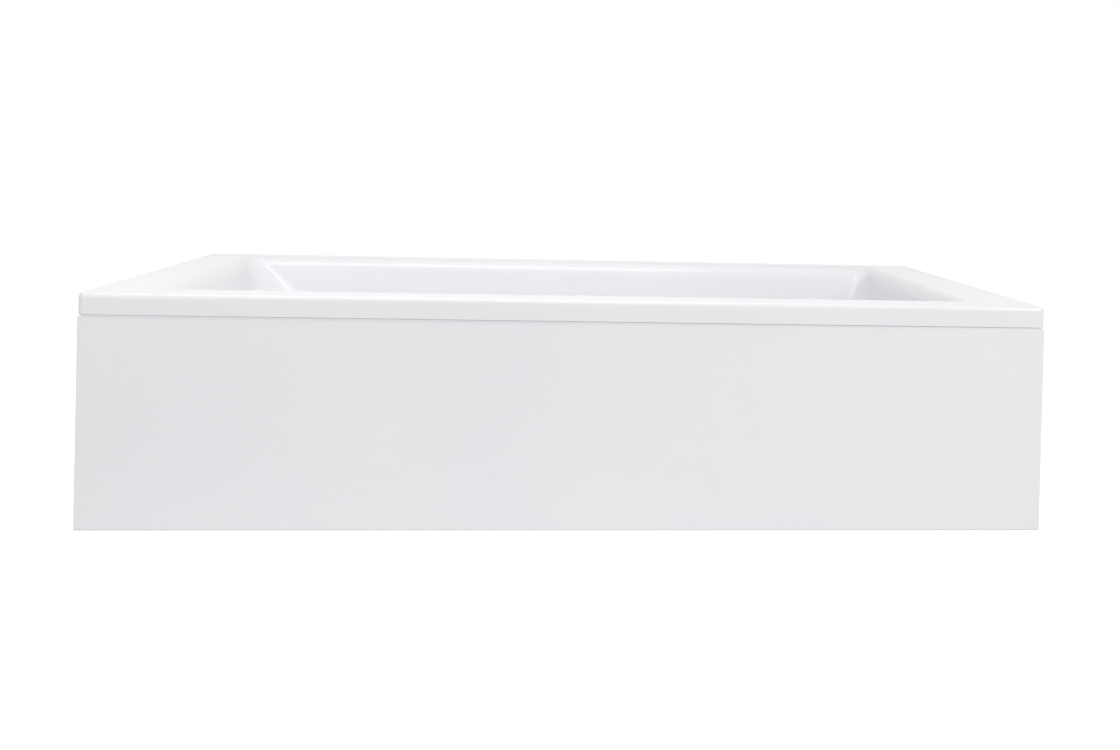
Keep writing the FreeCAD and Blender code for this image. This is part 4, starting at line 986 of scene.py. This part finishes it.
def threaded_stud(number):
    node = "foot_stud_%d" % number
    low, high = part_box(node)
    radius = (high[0] - low[0]) / 2
    length = high[2] - low[2]
    tree = Tree("thread_%d" % number, {
        "core_r": radius - THREAD_RIDGE, "ridge": THREAD_RIDGE, "length": length,
        "turns": (length - THREAD_PITCH) / THREAD_PITCH,
        "middle_x": (low[0] + high[0]) / 2, "middle_y": (low[1] + high[1]) / 2,
        "middle_z": (low[2] + high[2]) / 2, "foot_z": low[2] + THREAD_PITCH / 2})
    core = tree.node("GeometryNodeMeshCylinder", Vertices=CORE_SIDES, Radius=tree.core_r,
                     Depth=tree.length)
    centre = tree.node("ShaderNodeCombineXYZ", X=tree.middle_x, Y=tree.middle_y,
                       Z=tree.middle_z)
    core = tree.node("GeometryNodeTransform", Geometry=core.outputs[0],
                     Translation=centre.outputs[0])
    spiral = tree.node("GeometryNodeCurveSpiral", Resolution=STEPS_A_TURN,
                       Rotations=tree.turns,
                       Start_Radius=tree.core_r, End_Radius=tree.core_r,
                       Height=tree.length - THREAD_PITCH)
    start = tree.node("ShaderNodeCombineXYZ", X=tree.middle_x, Y=tree.middle_y, Z=tree.foot_z)
    spiral = tree.node("GeometryNodeTransform", Geometry=spiral.outputs[0],
                       Translation=start.outputs[0])
    ridge = tree.node("GeometryNodeCurvePrimitiveCircle", Resolution=RIDGE_SIDES,
                      Radius=tree.ridge)
    thread = tree.node("GeometryNodeCurveToMesh", Curve=spiral.outputs[0],
                       Profile_Curve=ridge.outputs[0], Fill_Caps=True)
    tree_output(tree, [core.outputs[0], thread.outputs[0]], materials["zinc_screw"])
    stud = outwards(mesh_from_tree("thread_%d" % number, tree))
    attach(stud, "foot_%d" % number)
    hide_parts(node)
    return stud


for number in range(1, 5):
    stud = threaded_stud(number)
    print("thread", number, extent(stud), "faces:", len(stud.data.polygons))

# %% [markdown]
# ## The floor
# The photograph shows the tub alone on white. A wide pale floor catches the soft shadow under
# the tub. More lamps would turn it white too, and the tub with it, so it glows a little
# instead, and only for the rays that show it: to the camera and in a reflection.


# %% Rays that show a surface
def rays_that_see(tree):
    """1 for the rays that show a surface: to the camera, in a reflection or through glass."""
    path = tree.nodes.new("ShaderNodeLightPath")
    seen = Field(tree, path.outputs["Is Camera Ray"])
    for kind in ("Is Glossy Ray", "Is Transmission Ray"):
        seen = seen.op("MAXIMUM", Field(tree, path.outputs[kind]))
    return seen


print("rays ready")

# %% Floor
FLOOR_REACH = 9
FLOOR_GLOW = 0.68
floor_corners = [(x * FLOOR_REACH, y * FLOOR_REACH, 0)
                 for x, y in ((-1, -1), (1, -1), (1, 1), (-1, 1))]
floor_mesh = bpy.data.meshes.new("studio_floor")
floor_mesh.from_pydata(floor_corners, [], [(0, 1, 2, 3)])
floor = bpy.data.objects.new("studio_floor", floor_mesh)
bpy.context.scene.collection.objects.link(floor)
floor_material = bpy.data.materials.new("pale_floor")
floor_material.use_nodes = True
floor_tree = floor_material.node_tree
floor_shader = floor_tree.nodes["Principled BSDF"]
floor_shader.inputs["Base Color"].default_value = (0.80, 0.80, 0.80, 1.0)
floor_shader.inputs["Roughness"].default_value = 0.9
floor_shader.inputs["Specular IOR Level"].default_value = 0.0
floor_shader.inputs["Emission Color"].default_value = (1.0, 1.0, 1.0, 1.0)
floor_seen = rays_that_see(floor_tree)
floor_tree.links.new((floor_seen * FLOOR_GLOW).value, floor_shader.inputs["Emission Strength"])
floor_mesh.materials.append(floor_material)
print("floor reach:", FLOOR_REACH, "m")

# %% [markdown]
# ## The world
# The world is the soft light that comes from all sides in a white studio. Seen by the camera
# or in chrome it is plain white, but on the tub it counts half, so that the lamps can still
# shape the acrylic.

# %% World
WORLD_LEVEL = 0.50
world = bpy.data.worlds.new("studio")
bpy.context.scene.world = world
world.use_nodes = True
world_tree = world.node_tree
background = world_tree.nodes["Background"]
background.inputs["Color"].default_value = (1.0, 1.0, 1.0, 1.0)
level = rays_that_see(world_tree) * (1.0 - WORLD_LEVEL) + WORLD_LEVEL
world_tree.links.new(level.value, background.inputs["Strength"])
print("world level:", WORLD_LEVEL)

# %% [markdown]
# ## The lamps
# The light in the photograph is very even and a little stronger from the right. Large area
# lamps give soft edges to the shadows. One stands at the right, a wider one fills in from the
# left, and a low bar over the front lights the far wall of the basin. Each lamp was rendered
# alone and their powers were solved from the greys of the photograph. The bar was then turned
# down a little, because the front deck came close to plain white when seen from above.


# %% Lamps
def lamp(name, place, target, size, power):
    data = bpy.data.lights.new(name, "AREA")
    data.shape = "RECTANGLE"
    data.size, data.size_y = size
    data.energy = power
    light = bpy.data.objects.new(name, data)
    light.location = place
    light.rotation_euler = (Vector(target) - Vector(place)).to_track_quat("-Z", "Y").to_euler()
    bpy.context.scene.collection.objects.link(light)


lamp("right_key", (2.2, -2.2, 1.9), (-0.4, 0.1, 0.3), (1.2, 1.2), 34.0)
lamp("left_fill", (-2.2, -3.4, 1.2), (0.0, 0.0, 0.2), (2.0, 1.6), 21.5)
lamp("over_front", (-0.4, -0.55, 1.8), (-0.4, 0.25, 0.3), (1.8, 0.5), 12.8)
print("lamps:", 3)

# %% [markdown]
# ## The camera
# The camera stands in front of the tub, a little left of its middle and above the rim. The
# picture was drawn off centre, so the lens is shifted, as a view camera's is. The values were
# solved from the eight corners of the tub in the photograph.

# %% Camera
PICTURE_WIDTH = 1120.0
SENSOR_WIDTH = 36.0
FOCAL_PIXELS = 1223.6
SHIFT_X_PIXELS = 84.4
SHIFT_Y_PIXELS = -201.5
EYE = Vector((-0.061, -1.926 - HALF_W, 0.589))
YAW = math.radians(4.8)
PITCH = math.radians(-0.64)
ROLL = math.radians(1.44)
print("the eye stands", round(-EYE.y - HALF_W, 3), "m in front of the panel")

# %% Turn, lens and shift
forward = Vector((math.sin(YAW) * math.cos(PITCH), math.cos(YAW) * math.cos(PITCH),
                  math.sin(PITCH)))
level_right = Vector((math.cos(YAW), -math.sin(YAW), 0.0))
level_up = level_right.cross(forward)
right = level_right * math.cos(ROLL) + level_up * math.sin(ROLL)
up = level_up * math.cos(ROLL) - level_right * math.sin(ROLL)
camera_data = bpy.data.cameras.new("camera")
camera_data.sensor_width = SENSOR_WIDTH
camera_data.lens = FOCAL_PIXELS / PICTURE_WIDTH * SENSOR_WIDTH
camera_data.shift_x = -SHIFT_X_PIXELS / PICTURE_WIDTH
camera_data.shift_y = SHIFT_Y_PIXELS / PICTURE_WIDTH
camera = bpy.data.objects.new("camera", camera_data)
turn = Matrix((right, up, -forward)).transposed().to_4x4()
camera.matrix_world = Matrix.Translation(EYE) @ turn
bpy.context.scene.collection.objects.link(camera)
bpy.context.scene.camera = camera
print("lens:", round(camera_data.lens, 2), "mm")

# %% [markdown]
# ## Close
# Standard colour management shows a colour about as it is written. The box of the finished
# model is written beside the CAD box, so the two can be compared.

# %% Colour management
bpy.context.scene.view_settings.view_transform = "Standard"
